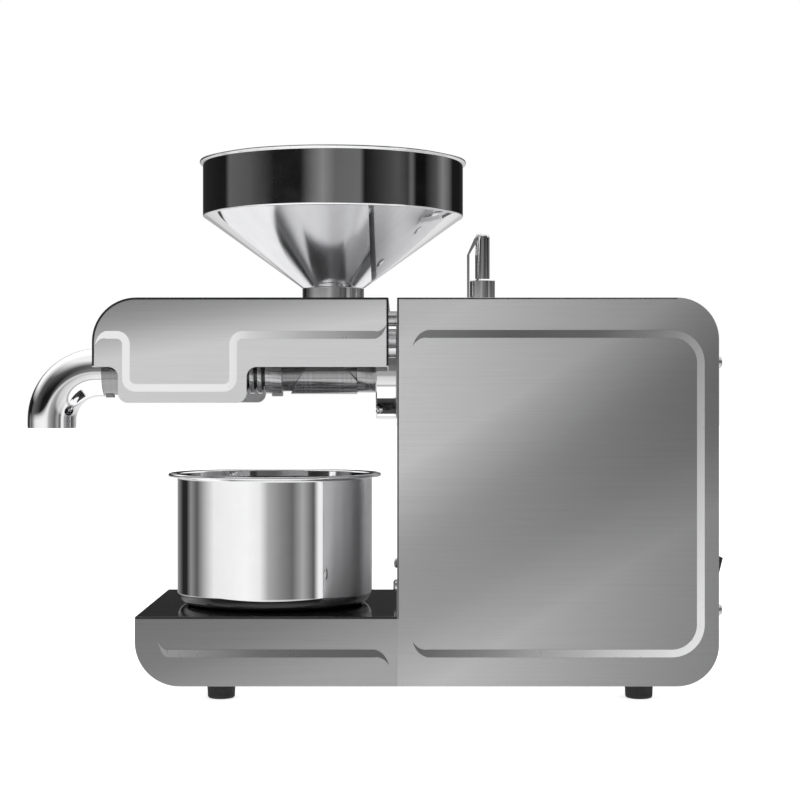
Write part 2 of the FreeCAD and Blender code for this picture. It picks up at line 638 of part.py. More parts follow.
def end_plate():
    """The removable right-hand plate that carries the switches and the mains inlet."""
    body = new_body("end_plate", "end_x", "0", "foot_height")
    plate = new_sketch(body, "YZ")
    draw_rectangle(plate, "-end_plate_half", "end_plate_low", "end_plate_half", "end_plate_top")
    pad(body, plate, "sheet")
    fillet(body, "end_plate_corner",
           [point("sheet / 2", y, z) for y in ("-end_plate_half", "end_plate_half")
            for z in ("end_plate_low", "end_plate_top")])
    drill(body, "YZ", END_SCREWS, SCREW_HOLE, "through_sheet")
    for index in range(3):
        middle = f"-half_depth + switch_first + {index} * switch_pitch"
        wrap_window(body, "YZ", "0", (f"{middle} - switch_width / 2 + switch_border / 2",
                                      "switch_level - switch_height / 2 + switch_border / 2",
                                      f"{middle} + switch_width / 2 - switch_border / 2",
                                      "switch_level + switch_height / 2 - switch_border / 2"))
    wrap_window(body, "YZ", "0", ("half_depth - inlet_back - inlet_width / 2 + inlet_wall",
                                  "switch_level - inlet_height / 2 + inlet_wall * 2",
                                  "half_depth - inlet_back + inlet_width / 2 - inlet_wall",
                                  "switch_level + inlet_height / 2 - inlet_wall * 2"))
    vents = new_sketch(body, "YZ")
    draw_rectangle(vents, "-louvre_length / 2", "vent_low", "louvre_length / 2",
                   "vent_low + louvre_width")
    vent = pocket(body, vents, "through_sheet", symmetric=True)
    repeat(body, vent, vents, "V_Axis", "louvre_pitch", "louvre_count")


# Base

BASE_OUTLINE = [("-base_length", "0"), ("0", "0"), ("0", "base_height"), ("-base_length", "base_height")]


def base_shell():
    """Front and rear panels of the base and the folded trough between them."""
    for name, rear in (("base_front_panel", False), ("base_rear_panel", True)):
        panel(name, "house_x", "foot_height", BASE_OUTLINE, BASE_OUTLINE[:1], "base_corner", rear)
    body = new_body("base_trough", "house_x", "0", "foot_height")
    outer = new_sketch(body, "XZ")
    draw_outline(outer, BASE_OUTLINE)
    pad(body, outer, "inner_depth", symmetric=True)
    inner = new_sketch(body, "XZ")
    draw_rectangle(inner, "-base_length + sheet", "sheet", "-sheet", "base_height")
    pocket(body, inner, "inner_depth", symmetric=True)
    fillet(body, "base_corner - sheet", side_corners(("-base_length + sheet", "sheet")))
    fillet(body, "base_corner", side_corners(BASE_OUTLINE[0]))
    drill(body, "XY", [("-foot_left", y) for y in FOOT_ROWS], SCREW_HOLE, "through_sheet")
    drill(body, "YZ", BASE_SCREWS, SCREW_HOLE, "through_sheet")


def tray_plate():
    """Black plate on the base; its left and right edges end with the base."""
    body = new_body("tray_plate", "house_x", "0", "foot_height + base_height")
    sketch = new_sketch(body, "XY")
    draw_rectangle(sketch, "-base_length", "-half_depth", "0", "half_depth")
    pad(body, sketch, "tray_thickness")


def feet():
    """Four rubber feet, wider at the top, with a recess for the screw from below."""
    body = new_body("feet", "house_x")
    spots = [(x, y) for x in ("-foot_left", "foot_right") for y in FOOT_ROWS]
    rubber = new_sketch(body, "XY", "foot_height")
    draw_circles(rubber, spots, "foot_radius")
    block = pad(body, rubber, "foot_height", backwards=True)
    block.setExpression("TaperAngle", formula("-atan(foot_taper / foot_height)"))
    recess = new_sketch(body, "XY")
    draw_circles(recess, spots, "foot_recess_radius")
    pocket(body, recess, "foot_recess", backwards=True)
    drill(body, "XY", spots, SCREW_HOLE, "4 * foot_height")
    screws("foot_screws", "house_x", "0", "foot_recess", "XY", spots, head_side=-1,
           length="foot_height + sheet + screw_reach - foot_recess")


# Hood

HOOD_OUTLINE = [
    ("0", "0"), ("skirt_start", "0"), ("skirt_start", "-skirt_depth"),
    ("skirt_start + skirt_length", "-skirt_depth"), ("skirt_start + skirt_length", "0"),
    ("hood_length", "0"), ("hood_length", "hood_height"), ("0", "hood_height"),
]


def hood():
    """Two profiled side plates joined by a sheet over the left end, the top and the right end."""
    for name, rear in (("hood_front_panel", False), ("hood_rear_panel", True)):
        body = panel(name, "hood_x", "hood_low", HOOD_OUTLINE, HOOD_OUTLINE[7:], "hood_corner", rear)
        depth = "half_depth - sheet / 2" if rear else "-half_depth + sheet / 2"
        fillet(body, "skirt_corner", [point(x, depth, z) for x, z in HOOD_OUTLINE[1:5]])
    body = new_body("hood_wrap", "hood_x", "0", "hood_low")
    outer = new_sketch(body, "XZ")
    draw_rectangle(outer, "0", "0", "hood_length", "hood_height")
    pad(body, outer, "inner_depth", symmetric=True)
    inner = new_sketch(body, "XZ")
    draw_rectangle(inner, "sheet", "0", "hood_length - sheet", "hood_height - sheet")
    pocket(body, inner, "inner_depth", symmetric=True)
    fillet(body, "hood_corner - sheet", side_corners(("sheet", "hood_height - sheet")))
    fillet(body, "hood_corner", side_corners(("0", "hood_height")))
    drill(body, "XY", [("hood_length + hood_gap - feed_offset", "0")], "cup_radius + hopper_gap",
          "through_sheet", "hood_height")
    wrap_window(body, "YZ", "0", ("-elbow_outer - pipe_gap", "-pipe_gap", "elbow_outer + pipe_gap",
                                  "axis_height - hood_low + elbow_outer"))
    drill(body, "YZ", [("0", "axis_height - hood_low")], "seat_radius + hopper_gap", "through_sheet",
          "hood_length")
    drill(body, "YZ", [(y, "hood_height - hood_screw_level") for y, z in HOOD_SCREWS], SCREW_HOLE,
          "through_sheet", "hood_length")
    spacers = new_body("hood_spacers", "house_x", "0", "foot_height")
    tubes = new_sketch(spacers, "YZ")
    draw_circles(tubes, HOOD_SCREWS, "spacer_radius")
    draw_circles(tubes, HOOD_SCREWS, SCREW_HOLE)
    pad(spacers, tubes, "hood_gap", backwards=True)


def panel_screws():
    """Every group of small screws in housing, hood and base."""
    screws("top_screws", "house_x", "0", "housing_top", "XY", TOP_SCREWS, head_side=1)
    screws("end_plate_screws", "end_x + sheet", "0", "foot_height", "YZ", END_SCREWS, head_side=1)
    screws("wall_screws", "house_x", "0", "foot_height", "YZ", WALL_SCREWS, head_side=-1)
    screws("seat_screws", "house_x + bulkhead_thickness", "0", "foot_height", "YZ", SEAT_SCREWS,
           head_side=1)
    screws("base_screws", "house_x - sheet", "0", "foot_height", "YZ", BASE_SCREWS, head_side=-1)
    screws("hood_screws", "house_x - hood_gap - sheet", "0", "foot_height", "YZ", HOOD_SCREWS,
           head_side=-1, length="sheet + hood_gap + bulkhead_thickness + 2 * screw_reach")


# Barrel group: local X runs along the barrel axis from the housing's left face

def barrel():
    """Shank, neck, feed section, collar, ribbed oil outlet and threaded end, bored right through."""
    body = turned("press_barrel", "house_x", "0", "axis_height", [
        ("shank_length", "bore_radius"), ("shank_length", "shank_radius"),
        ("-seat_reach", "shank_radius"), ("-seat_reach", "neck_radius"),
        ("-neck_end", "neck_radius"), ("-neck_end", "feed_radius"),
        ("-feed_end", "feed_radius"), ("-feed_end", "rib_radius"),
        ("-outlet_end", "rib_radius"), ("-outlet_end", "spigot_radius"),
        ("-barrel_end", "spigot_radius"), ("-barrel_end", "bore_radius"),
    ])
    groove = new_sketch(body, "XZ")
    start = "-outlet_start - rib_pitch + groove_width / 2"
    draw_rectangle(groove, f"{start} - groove_width", "groove_radius", start, "rib_radius + overcut")
    ring = revolve(body, groove, "H_Axis", cut=True)
    repeat(body, ring, groove, "H_Axis", "-rib_pitch", "rib_count - 1")
    slot = new_sketch(body, "XY")
    middle = f"{start} - groove_width / 2"
    draw_rectangle(slot, f"{middle} - drain_width / 2", "-drain_half_width",
                   f"{middle} + drain_width / 2", "drain_half_width")
    drain = pocket(body, slot, "rib_radius + overcut")
    repeat(body, drain, slot, "H_Axis", "-rib_pitch", "rib_count - 1")
    port = new_sketch(body, "XY")
    draw_circles(port, [("-feed_offset", "0")], "port_radius")
    pocket(body, port, "rib_radius + overcut", backwards=True)
    key = new_sketch(body, "XY", "-rib_radius - key_height")
    draw_rectangle(key, "-outlet_start", "-key_width / 2", "-feed_end", "key_width / 2")
    pad(body, key, "key_height + rib_radius - groove_radius")


def feed_saddle():
    """Sleeve round the feed section, longer below than above, with the feed cup on top."""
    body = new_body("feed_saddle", "house_x - feed_offset", "0", "axis_height")
    sleeve = new_sketch(body, "YZ", "-feed_end + feed_offset")
    draw_circles(sleeve, [("0", "0")], "saddle_radius")
    pad(body, sleeve, "feed_length")
    ends = new_sketch(body, "XZ")
    high = "(saddle_radius + overcut)"
    low = f"-{high}"
    left_end = "feed_offset - feed_end - overcut"
    right_end = "feed_offset - neck_end + overcut"
    draw_outline(ends, [
        (f"-saddle_left_top + {high} * tan(saddle_left_slope)", high),
        (left_end, high), (left_end, low),
        (f"-saddle_left_top - {high} * tan(saddle_left_slope)", low),
    ])
    draw_outline(ends, [
        (f"saddle_right_top - {high} * tan(saddle_right_slope)", high),
        (f"saddle_right_top + {high} * tan(saddle_right_slope)", low),
        (f"max(saddle_right_top + {high} * tan(saddle_right_slope); {right_end}) + overcut", low),
        (f"max(saddle_right_top + {high} * tan(saddle_right_slope); {right_end}) + overcut", high),
    ])
    pocket(body, ends, "4 * saddle_radius", symmetric=True)
    cup = new_sketch(body, "XY", "cup_bottom")
    draw_circles(cup, [("0", "0")], "cup_radius")
    pad(body, cup, "cup_top - cup_bottom")
    drill(body, "YZ", [("0", "0")], "feed_radius + slide_fit", "4 * feed_length")
    relief = new_sketch(body, "YZ", "feed_offset - neck_end - slide_fit")
    draw_circles(relief, [("0", "0")], "neck_radius + slide_fit")
    pocket(body, relief, "2 * cup_radius", backwards=True)
    funnel = new_sketch(body, "XZ")
    draw_outline(funnel, [
        ("0", "0"), ("port_radius", "0"), ("port_radius", "saddle_radius"),
        ("cup_radius - 2 * hopper_wall", "cup_top"),
        ("cup_radius - 2 * hopper_wall", "cup_top + overcut"), ("0", "cup_top + overcut"),
    ])
    revolve(body, funnel, "V_Axis", cut=True)


def end_nut():
    """Nut on the barrel's end with the cone-shaped cake passage, two flats and a key below."""
    body = turned("end_nut", "house_x", "0", "axis_height", [
        ("-outlet_end", "spigot_radius + slide_fit"), ("-outlet_end", "nut_radius"),
        ("-nut_end", "nut_radius"), ("-nut_end", "nut_exit"),
        ("-barrel_end - throat_length", "nut_throat"), ("-barrel_end", "nut_throat"),
        ("-barrel_end", "spigot_radius + slide_fit"),
    ])
    flats = new_sketch(body, "XY")
    for side in (-1, 1):
        draw_rectangle(flats, "-outlet_end - flat_start - flat_length",
                       f"{side} * (nut_radius - flat_depth)",
                       "-outlet_end - flat_start", f"{side} * (nut_radius + overcut)")
    pocket(body, flats, "4 * nut_radius", symmetric=True)
    key = new_sketch(body, "XY", "-nut_radius - key_height")
    key_start = "-nut_end + elbow_overlap + overcut"
    draw_rectangle(key, key_start, "-key_width / 2", f"{key_start} + key_width", "key_width / 2")
    pad(body, key, "key_height + overcut")


def cake_elbow():
    """Bent tube pushed over the nut; local origin at the centre of the bend."""
    body = new_body("cake_elbow", "house_x - elbow_x", "0", "axis_height - elbow_bend")
    path = new_sketch(body, "XZ")
    bend = number("elbow_bend")
    drop = number("elbow_drop")
    overlap = number("elbow_overlap")
    path.addGeometry(Part.LineSegment(Vector(-bend, -drop, 0), Vector(-bend, 0, 0)))
    path.addGeometry(Part.ArcOfCircle(Part.Circle(Vector(0, 0, 0), Vector(0, 0, 1), bend),
                                      math.pi / 2, math.pi))
    path.addGeometry(Part.LineSegment(Vector(0, bend, 0), Vector(overlap, bend, 0)))
    pin(path, 0, 1, ("-elbow_bend", "-elbow_drop"))
    pin(path, 0, 2, ("-elbow_bend", "0"))
    pin(path, 2, 1, ("0", "elbow_bend"))
    pin(path, 2, 2, ("elbow_overlap", "elbow_bend"))
    path.addConstraint(Sketcher.Constraint("Coincident", 1, 2, 0, 2))
    path.addConstraint(Sketcher.Constraint("Coincident", 1, 1, 2, 1))
    bind(path, Sketcher.Constraint("Radius", 1, bend), "elbow_bend")
    mouth = new_sketch(body, "XY", "-elbow_drop")
    draw_circles(mouth, [("-elbow_bend", "0")], "elbow_outer")
    draw_circles(mouth, [("-elbow_bend", "0")], "nut_radius + slide_fit")
    tube = body.newObject("PartDesign::AdditivePipe", "cake_elbow_tube")
    tube.Profile = mouth
    tube.Spine = (path, ["Edge1", "Edge2", "Edge3"])


def press_screw():
    """The pressing screw: tapered core with cone end, journal and hexagon, and one flight."""
    flight_end = "feed_offset - port_radius - flight_lead"
    journal_start = "shank_length - bush_length - bush_gap"
    body = turned("press_screw", "house_x", "0", "axis_height", [
        ("shank_length", "0"), ("shank_length", "journal_radius"),
        (journal_start, "journal_radius"), (journal_start, "root_feed"),
        (f"-({flight_end})", "root_feed"), ("-barrel_end + core_inset", "root_press"),
        ("-barrel_end - throat_length", "root_press"), ("-nut_end + tip_inset", "tip_radius"),
        ("-nut_end + tip_inset", "0"),
    ])
    tang = new_sketch(body, "YZ", "shank_length")
    corner = "tang_flat / cos(30)"
    draw_outline(tang, [(f"{corner} * cos({angle})", f"{corner} * sin({angle})")
                        for angle in range(30, 390, 60)])
    pad(body, tang, "tang_length + socket_gap - tang_gap")
    thread = new_sketch(body, "XZ")
    start = "-barrel_end + flight_inset"
    draw_outline(thread, [
        (start, "root_feed - overcut"), (f"{start} + flight_base", "root_feed - overcut"),
        (f"{start} + (flight_base + flight_tip) / 2", "flight_radius"),
        (f"{start} + (flight_base - flight_tip) / 2", "flight_radius"),
    ])
    flight = body.newObject("PartDesign::AdditiveHelix", "press_screw_flight")
    flight.Profile = thread
    flight.ReferenceAxis = (thread, ["H_Axis"])
    flight.Mode = "pitch-height-angle"
    flight.setExpression("Pitch", formula("flight_pitch"))
    flight.setExpression("Height", formula(f"barrel_end - flight_inset - flight_base - ({flight_end})"))


# Barrel seat, heater and lock

def seat_sleeve():
    """Flange in front of the bulkhead and the heated sleeve behind it, bored for the shank."""
    body = turned("seat_sleeve", "house_x", "0", "axis_height", [
        ("-seat_reach", "shank_radius + slide_fit"), ("-seat_reach", "seat_radius"),
        ("0", "seat_radius"), ("0", "sleeve_radius"),
        ("seat_depth", "sleeve_radius"), ("seat_depth", "shank_radius + slide_fit"),
    ])
    chamfer(body, "seat_chamfer", [point("-seat_reach", 0, 0), point(0, 0, 0)], "seat_radius")
    tapped = new_sketch(body, "YZ")
    draw_circles(tapped, [(y, f"{z} - axis_level") for y, z in SEAT_SCREWS], SCREW_HOLE)
    pocket(body, tapped, "screw_length")
    spot_face = new_sketch(body, "XY", "sleeve_radius - lock_bush_seat")
    draw_circles(spot_face, [("lock_offset", "0")], "lock_bush_radius + join_gap")
    pocket(body, spot_face, "lock_bush_seat + overcut", backwards=True)
    tip_hole = new_sketch(body, "XY")
    draw_circles(tip_hole, [("lock_offset", "0")], "lock_tip_radius + join_gap")
    pocket(body, tip_hole, "2 * sleeve_radius", backwards=True)
    plunger = new_sketch(body, "XY")
    plunger.AttachmentOffset = FreeCAD.Placement(Vector(), FreeCAD.Rotation(Vector(1, 0, 0), 0))
    plunger.setExpression("AttachmentOffset.Rotation.Angle", formula("90 + plunger_angle"))
    plunger.setExpression("AttachmentOffset.Base.z",
                          formula("-(seat_radius - plunger_length) * sin(plunger_angle)"))
    plunger.setExpression("AttachmentOffset.Base.y",
                          formula("-(seat_radius - plunger_length) * cos(plunger_angle)"))
    draw_circles(plunger, [("-seat_reach + 2 * plunger_radius", "0")], "plunger_radius + slide_fit")
    pocket(body, plunger, "2 * plunger_length", backwards=True)


def seat_plunger():
    """Spring plunger with a ball end, screwed radially into the seat flange."""
    body = turned("seat_plunger", "house_x - seat_reach + 2 * plunger_radius",
                  "-(seat_radius - plunger_length) * cos(plunger_angle)",
                  "axis_height - (seat_radius - plunger_length) * sin(plunger_angle)", [
                      ("0", "0"), ("plunger_radius", "0"),
                      ("plunger_radius", "plunger_length + plunger_ball"),
                      ("0", "plunger_length + plunger_ball")], axis="Z")
    fillet(body, "plunger_round", [point(0, 0, "plunger_length + plunger_ball")])
    body.Placement.Rotation = FreeCAD.Rotation(Vector(1, 0, 0), 0)
    body.setExpression("Placement.Rotation.Angle", formula("90 + plunger_angle"))


def heater_band():
    """Split band heater clamped round the sleeve by a screw through its two ears."""
    body = new_body("heater_band", "house_x + heater_start", "0", "axis_height")
    band = new_sketch(body, "YZ")
    draw_circles(band, [("0", "0")], "sleeve_radius + join_gap")
    draw_circles(band, [("0", "0")], "sleeve_radius + heater_thickness")
    pad(body, band, "heater_width")
    ears = new_sketch(body, "YZ")
    low = "-sleeve_radius - heater_thickness"
    draw_rectangle(ears, "-heater_split / 2 - ear_thickness", f"{low} - ear_height",
                   "heater_split / 2 + ear_thickness", f"{low} + heater_thickness / 2")
    pad(body, ears, "heater_width")
    split = new_sketch(body, "YZ")
    draw_rectangle(split, "-heater_split / 2", f"{low} - ear_height - overcut", "heater_split / 2",
                   "-sleeve_radius + overcut")
    pocket(body, split, "4 * heater_width", symmetric=True)
    clamp = [("heater_width / 2", f"{low} - ear_height / 2")]
    drill(body, "XZ", clamp, SCREW_HOLE, "8 * ear_thickness")
    screws("heater_screw", "house_x + heater_start", "-heater_split / 2 - ear_thickness", "axis_height",
           "XZ", clamp, head_side=1, length="heater_split + 2 * (ear_thickness + screw_reach)")


def thermostat():
    """Disc thermostat on top of the heater band with two blade terminals."""
    body = new_body("thermostat", "house_x + heater_start + heater_width / 2", "0",
                    "axis_height + sleeve_radius + heater_thickness + join_gap")
    disc = new_sketch(body, "XY")
    draw_circles(disc, [("0", "0")], "thermostat_radius")
    pad(body, disc, "thermostat_height")
    blades = new_sketch(body, "XY", "thermostat_height")
    for side in (-1, 1):
        middle = f"{side} * thermostat_radius / 2"
        draw_rectangle(blades, f"{middle} - terminal_thickness / 2", "-terminal_width / 2",
                       f"{middle} + terminal_thickness / 2", "terminal_width / 2")
    pad(body, blades, "terminal_height")


def lock():
    """Threaded bush on the sleeve and the lock screw with its bent grip plate."""
    bush_low = "sleeve_radius - lock_bush_seat"
    bush_high = "axis_depth + lock_bush_top"
    turned("lock_bush", "lock_x", "0", "axis_height", [
        ("lock_stem_radius + slide_fit", bush_low), ("lock_bush_radius", bush_low),
        ("lock_bush_radius", f"{bush_high} - lock_bush_chamfer"),
        ("lock_bush_radius - lock_bush_chamfer", bush_high),
        ("lock_stem_radius + slide_fit", bush_high),
    ], axis="Z")
    body = turned("lock_screw", "lock_x", "0", "axis_height", [
        ("0", "shank_radius + lock_tip_gap"), ("lock_tip_radius", "shank_radius + lock_tip_gap"),
        ("lock_tip_radius", f"{bush_low} + lock_tip_rise"),
        ("lock_stem_radius", f"{bush_low} + lock_tip_rise + lock_tip_taper"),
        ("lock_stem_radius", "axis_depth + lock_height"), ("0", "axis_depth + lock_height"),
    ], axis="Z")
    fillet(body, "lock_dome", [point(0, 0, "axis_depth + lock_height")])
    grip = new_sketch(body, "XZ")
    root = "-lock_stem_radius + lever_root"
    draw_outline(grip, [
        ("-lever_reach", "axis_depth + lever_clear"), ("-lever_reach", "axis_depth + lever_bend"),
        (root, "axis_depth + lever_top - lever_thickness"),
        (root, "axis_depth + lever_top + lever_thickness"),
        ("-lock_stem_radius - lever_thickness / 2", "axis_depth + lever_top"),
        ("-lever_reach - lever_thickness", "axis_depth + lever_bend"),
        ("-lever_reach - lever_thickness", "axis_depth + lever_clear"),
    ])
    pad(body, grip, "lever_width", symmetric=True)


# Hopper and bowl

def hopper():
    """Spun hopper: neck, cone and upright band with a rolled lip; local zero is the table."""
    body = turned("feed_hopper", "house_x - feed_offset", "0", "0", [
        ("cup_radius - hopper_wall", "axis_height + cup_top + hopper_gap"),
        ("cup_radius", "axis_height + cup_top + hopper_gap"),
        ("cup_radius", "hopper_neck_top"),
        ("hopper_band_radius - hopper_step", "hopper_cone_top"),
        ("hopper_band_radius", "hopper_cone_top"),
        ("hopper_band_radius", "hopper_rim - hopper_lip_height"),
        ("hopper_band_radius + hopper_lip", "hopper_rim - hopper_lip_height"),
        ("hopper_band_radius + hopper_lip", "hopper_rim"),
        ("hopper_band_radius - hopper_wall", "hopper_rim"),
        ("hopper_band_radius - hopper_wall", "hopper_cone_top + hopper_seam"),
        ("hopper_band_radius - hopper_step - hopper_wall", "hopper_cone_top + hopper_wall / 2"),
        ("cup_radius - hopper_wall", "hopper_neck_top + hopper_wall / 2"),
    ], axis="Z")
    fillet(body, "hopper_lip_round", [point(0, 0, "hopper_rim - hopper_lip_height"),
                                      point(0, 0, "hopper_rim")])


def bowl():
    """Drawn oil bowl: flat bottom, round corner, straight wall and a flanged rim."""
    body = turned("oil_bowl", "house_x - bowl_offset", "0", "tray_top + bowl_gap", [
        ("0", "0"), ("bowl_radius", "0"),
        ("bowl_radius", "bowl_height - bowl_bead"),
        ("bowl_radius + bowl_rim", "bowl_height - bowl_bead"),
        ("bowl_radius + bowl_rim", "bowl_height"),
        ("bowl_radius - bowl_wall", "bowl_height"),
        ("bowl_radius - bowl_wall", "bowl_wall"), ("0", "bowl_wall"),
    ], axis="Z")
    fillet(body, "bowl_corner - bowl_wall", [point(0, 0, "bowl_wall")])
    fillet(body, "bowl_corner", [point(0, 0, 0)])
    fillet(body, "bowl_bead_round", [point(0, 0, "bowl_height")])


# Drive

def gear_shape(teeth, module, width, bore):
    """Involute spur gear along X with tooth number zero on +Y; flanks are arcs on the involute."""
    pressure = math.radians(number("gear_pressure"))
    pitch = teeth * module / 2
    base = pitch * math.cos(pressure)
    tip = pitch + number("tooth_head") * module
    root = pitch - number("tooth_foot") * module
    half_tooth = math.pi / (2 * teeth) - number("backlash") * module / (2 * pitch)
    involute = math.tan(pressure) - pressure

    def flank(radius, side, centre):
        roll = math.acos(min(1.0, base / radius))
        angle = centre + side * (half_tooth + involute - (math.tan(roll) - roll))
        return Vector(0, radius * math.cos(angle), radius * math.sin(angle))

    def on_circle(radius, angle):
        return Vector(0, radius * math.cos(angle), radius * math.sin(angle))

    start = max(base, root)
    middle = (start + tip) / 2
    edges = []
    step = 2 * math.pi / teeth
    for index in range(int(teeth)):
        centre = index * step
        low, high = flank(start, -1, centre), flank(start, 1, centre)
        low_root, high_root = (on_circle(root, math.atan2(spot.z, spot.y)) for spot in (low, high))
        following = flank(start, -1, centre + step)
        next_root = on_circle(root, math.atan2(following.z, following.y))
        if start > root:
            edges.append(Part.LineSegment(low_root, low).toShape())
        edges.append(Part.Arc(low, flank(middle, -1, centre), flank(tip, -1, centre)).toShape())
        edges.append(Part.LineSegment(flank(tip, -1, centre), flank(tip, 1, centre)).toShape())
        edges.append(Part.Arc(flank(tip, 1, centre), flank(middle, 1, centre), high).toShape())
        if start > root:
            edges.append(Part.LineSegment(high, high_root).toShape())
        edges.append(Part.LineSegment(high_root, next_root).toShape())
    solid = Part.Face(Part.Wire(edges)).extrude(Vector(width, 0, 0))
    if bore > 0:
        solid = solid.cut(Part.makeCylinder(bore, width, Vector(), Vector(1, 0, 0)))
    return solid


def computed(name, shape, x, y, z):
    """A piece whose shape is worked out here, placed by the sheet."""
    feature = doc.addObject("Part::Feature", name)
    feature.Label = name
    feature.Shape = shape
    place(feature, x, y, z)
    nodes.append(feature)
    return feature


def gears():
    """Output gear, idler gear with its pinion, and the motor pinion, in mesh at rest."""
    axle = Vector(1, 0, 0)
    slow_width = number("slow_width")
    fast_width = number("fast_width")
    output = gear_shape(number("output_teeth"), number("module_slow"), slow_width,
                        number("output_radius + slide_fit"))
    computed("output_gear", output, "house_x + slow_start", "0", "axis_height")
    half_step = 180 / number("pinion_teeth")
    pinion = gear_shape(number("pinion_teeth"), number("module_slow"), slow_width, 0)
    pinion.rotate(Vector(), axle, half_step)
    wheel = gear_shape(number("idler_teeth"), number("module_fast"), fast_width, 0)
    wheel.translate(Vector(number("fast_start - slow_start"), 0, 0))
    shaft_start = number("case_start - slow_start + gear_gap / 2")
    shaft_end = number("motor_start - slow_start - gear_gap / 2")
    shaft = Part.makeCylinder(number("idler_radius"), shaft_end - shaft_start,
                              Vector(shaft_start, 0, 0), axle)
    cluster = pinion.fuse([wheel, shaft]).removeSplitter()
    computed("idler_cluster", cluster, "house_x + slow_start", "0", "idler_height")
    motor_pinion = gear_shape(number("pinion_teeth"), number("module_fast"), fast_width,
                              number("motor_shaft_radius + slide_fit"))
    motor_pinion.rotate(Vector(), axle, half_step)
    computed("motor_pinion", motor_pinion, "house_x + fast_start", "0", "motor_height")


def output_shaft():
    """Output shaft with the hexagon socket that drives the screw."""
    body = turned("output_shaft", "house_x", "0", "axis_height", [
        ("socket_start", "0"), ("socket_start", "socket_radius"),
        ("case_start - gear_gap", "socket_radius"), ("case_start - gear_gap", "output_radius"),
        ("motor_start - gear_gap / 2", "output_radius"), ("motor_start - gear_gap / 2", "0"),
    ])
    socket = new_sketch(body, "YZ", "socket_start")
    corner = "(tang_flat + socket_fit) / cos(30)"
    draw_outline(socket, [(f"{corner} * cos({angle})", f"{corner} * sin({angle})")
                          for angle in range(30, 390, 60)])
    pocket(body, socket, "tang_length", backwards=True)


def gear_case():
    """Cast case open to the right and its flat cover, both bored for the bearings."""
    low = "motor_height - axis_height - case_bottom"
    outline = ("-case_half_width", low, "case_half_width", "case_top")
    corners = [(y, z) for y in ("-case_half_width", "case_half_width") for z in (low, "case_top")]
    heights = (("0", "output_radius"), ("idler_height - axis_height", "idler_radius"))
    body = new_body("gear_case", "house_x + case_start", "0", "axis_height")
    block = new_sketch(body, "YZ")
    draw_rectangle(block, *outline)
    pad(body, block, "cover_start - case_start")
    fillet(body, "case_corner", [point("(cover_start - case_start) / 2", y, z) for y, z in corners])
    cavity = new_sketch(body, "YZ", "case_wall")
    draw_rectangle(cavity, "-case_half_width + case_wall", f"{low} + case_wall",
                   "case_half_width - case_wall", "case_top - case_roof")
    pocket(body, cavity, "cover_start", backwards=True)
    for height, radius in heights:
        drill(body, "YZ", [("0", height)], f"{radius} + bearing_section + join_gap", "4 * case_wall")
    cover = new_body("gear_cover", "house_x + cover_start", "0", "axis_height")
    plate = new_sketch(cover, "YZ")
    draw_rectangle(plate, *outline)
    pad(cover, plate, "case_wall")
    fillet(cover, "case_corner", [point("case_wall / 2", y, z) for y, z in corners])
    for height, radius in heights:
        drill(cover, "YZ", [("0", height)], f"{radius} + bearing_section + join_gap", "4 * case_wall")
    drill(cover, "YZ", [("0", "motor_height - axis_height")], "motor_shaft_radius + gear_gap",
          "4 * case_wall")


def bearings():
    """Plain ring outlines of the ball bearings, two on each shaft."""
    walls = (("case_start", "case_start + case_wall"), ("cover_start", "cover_start + case_wall"))
    for name, height, radius in (("output_bearings", "axis_height", "output_radius"),
                                 ("idler_bearings", "idler_height", "idler_radius")):
        ring_stack(name, "house_x", "0", height,
                   [(start, end, f"{radius} + slide_fit", f"{radius} + bearing_section")
                    for start, end in walls])
    ring_stack("motor_bearings", "house_x", "0", "motor_height",
               [(start, end, "motor_shaft_radius + slide_fit", "motor_shaft_radius + bearing_section")
                for start, end in (("motor_start + bell_lip", "can_start"),
                                   ("can_end", "motor_end - bell_lip"))])


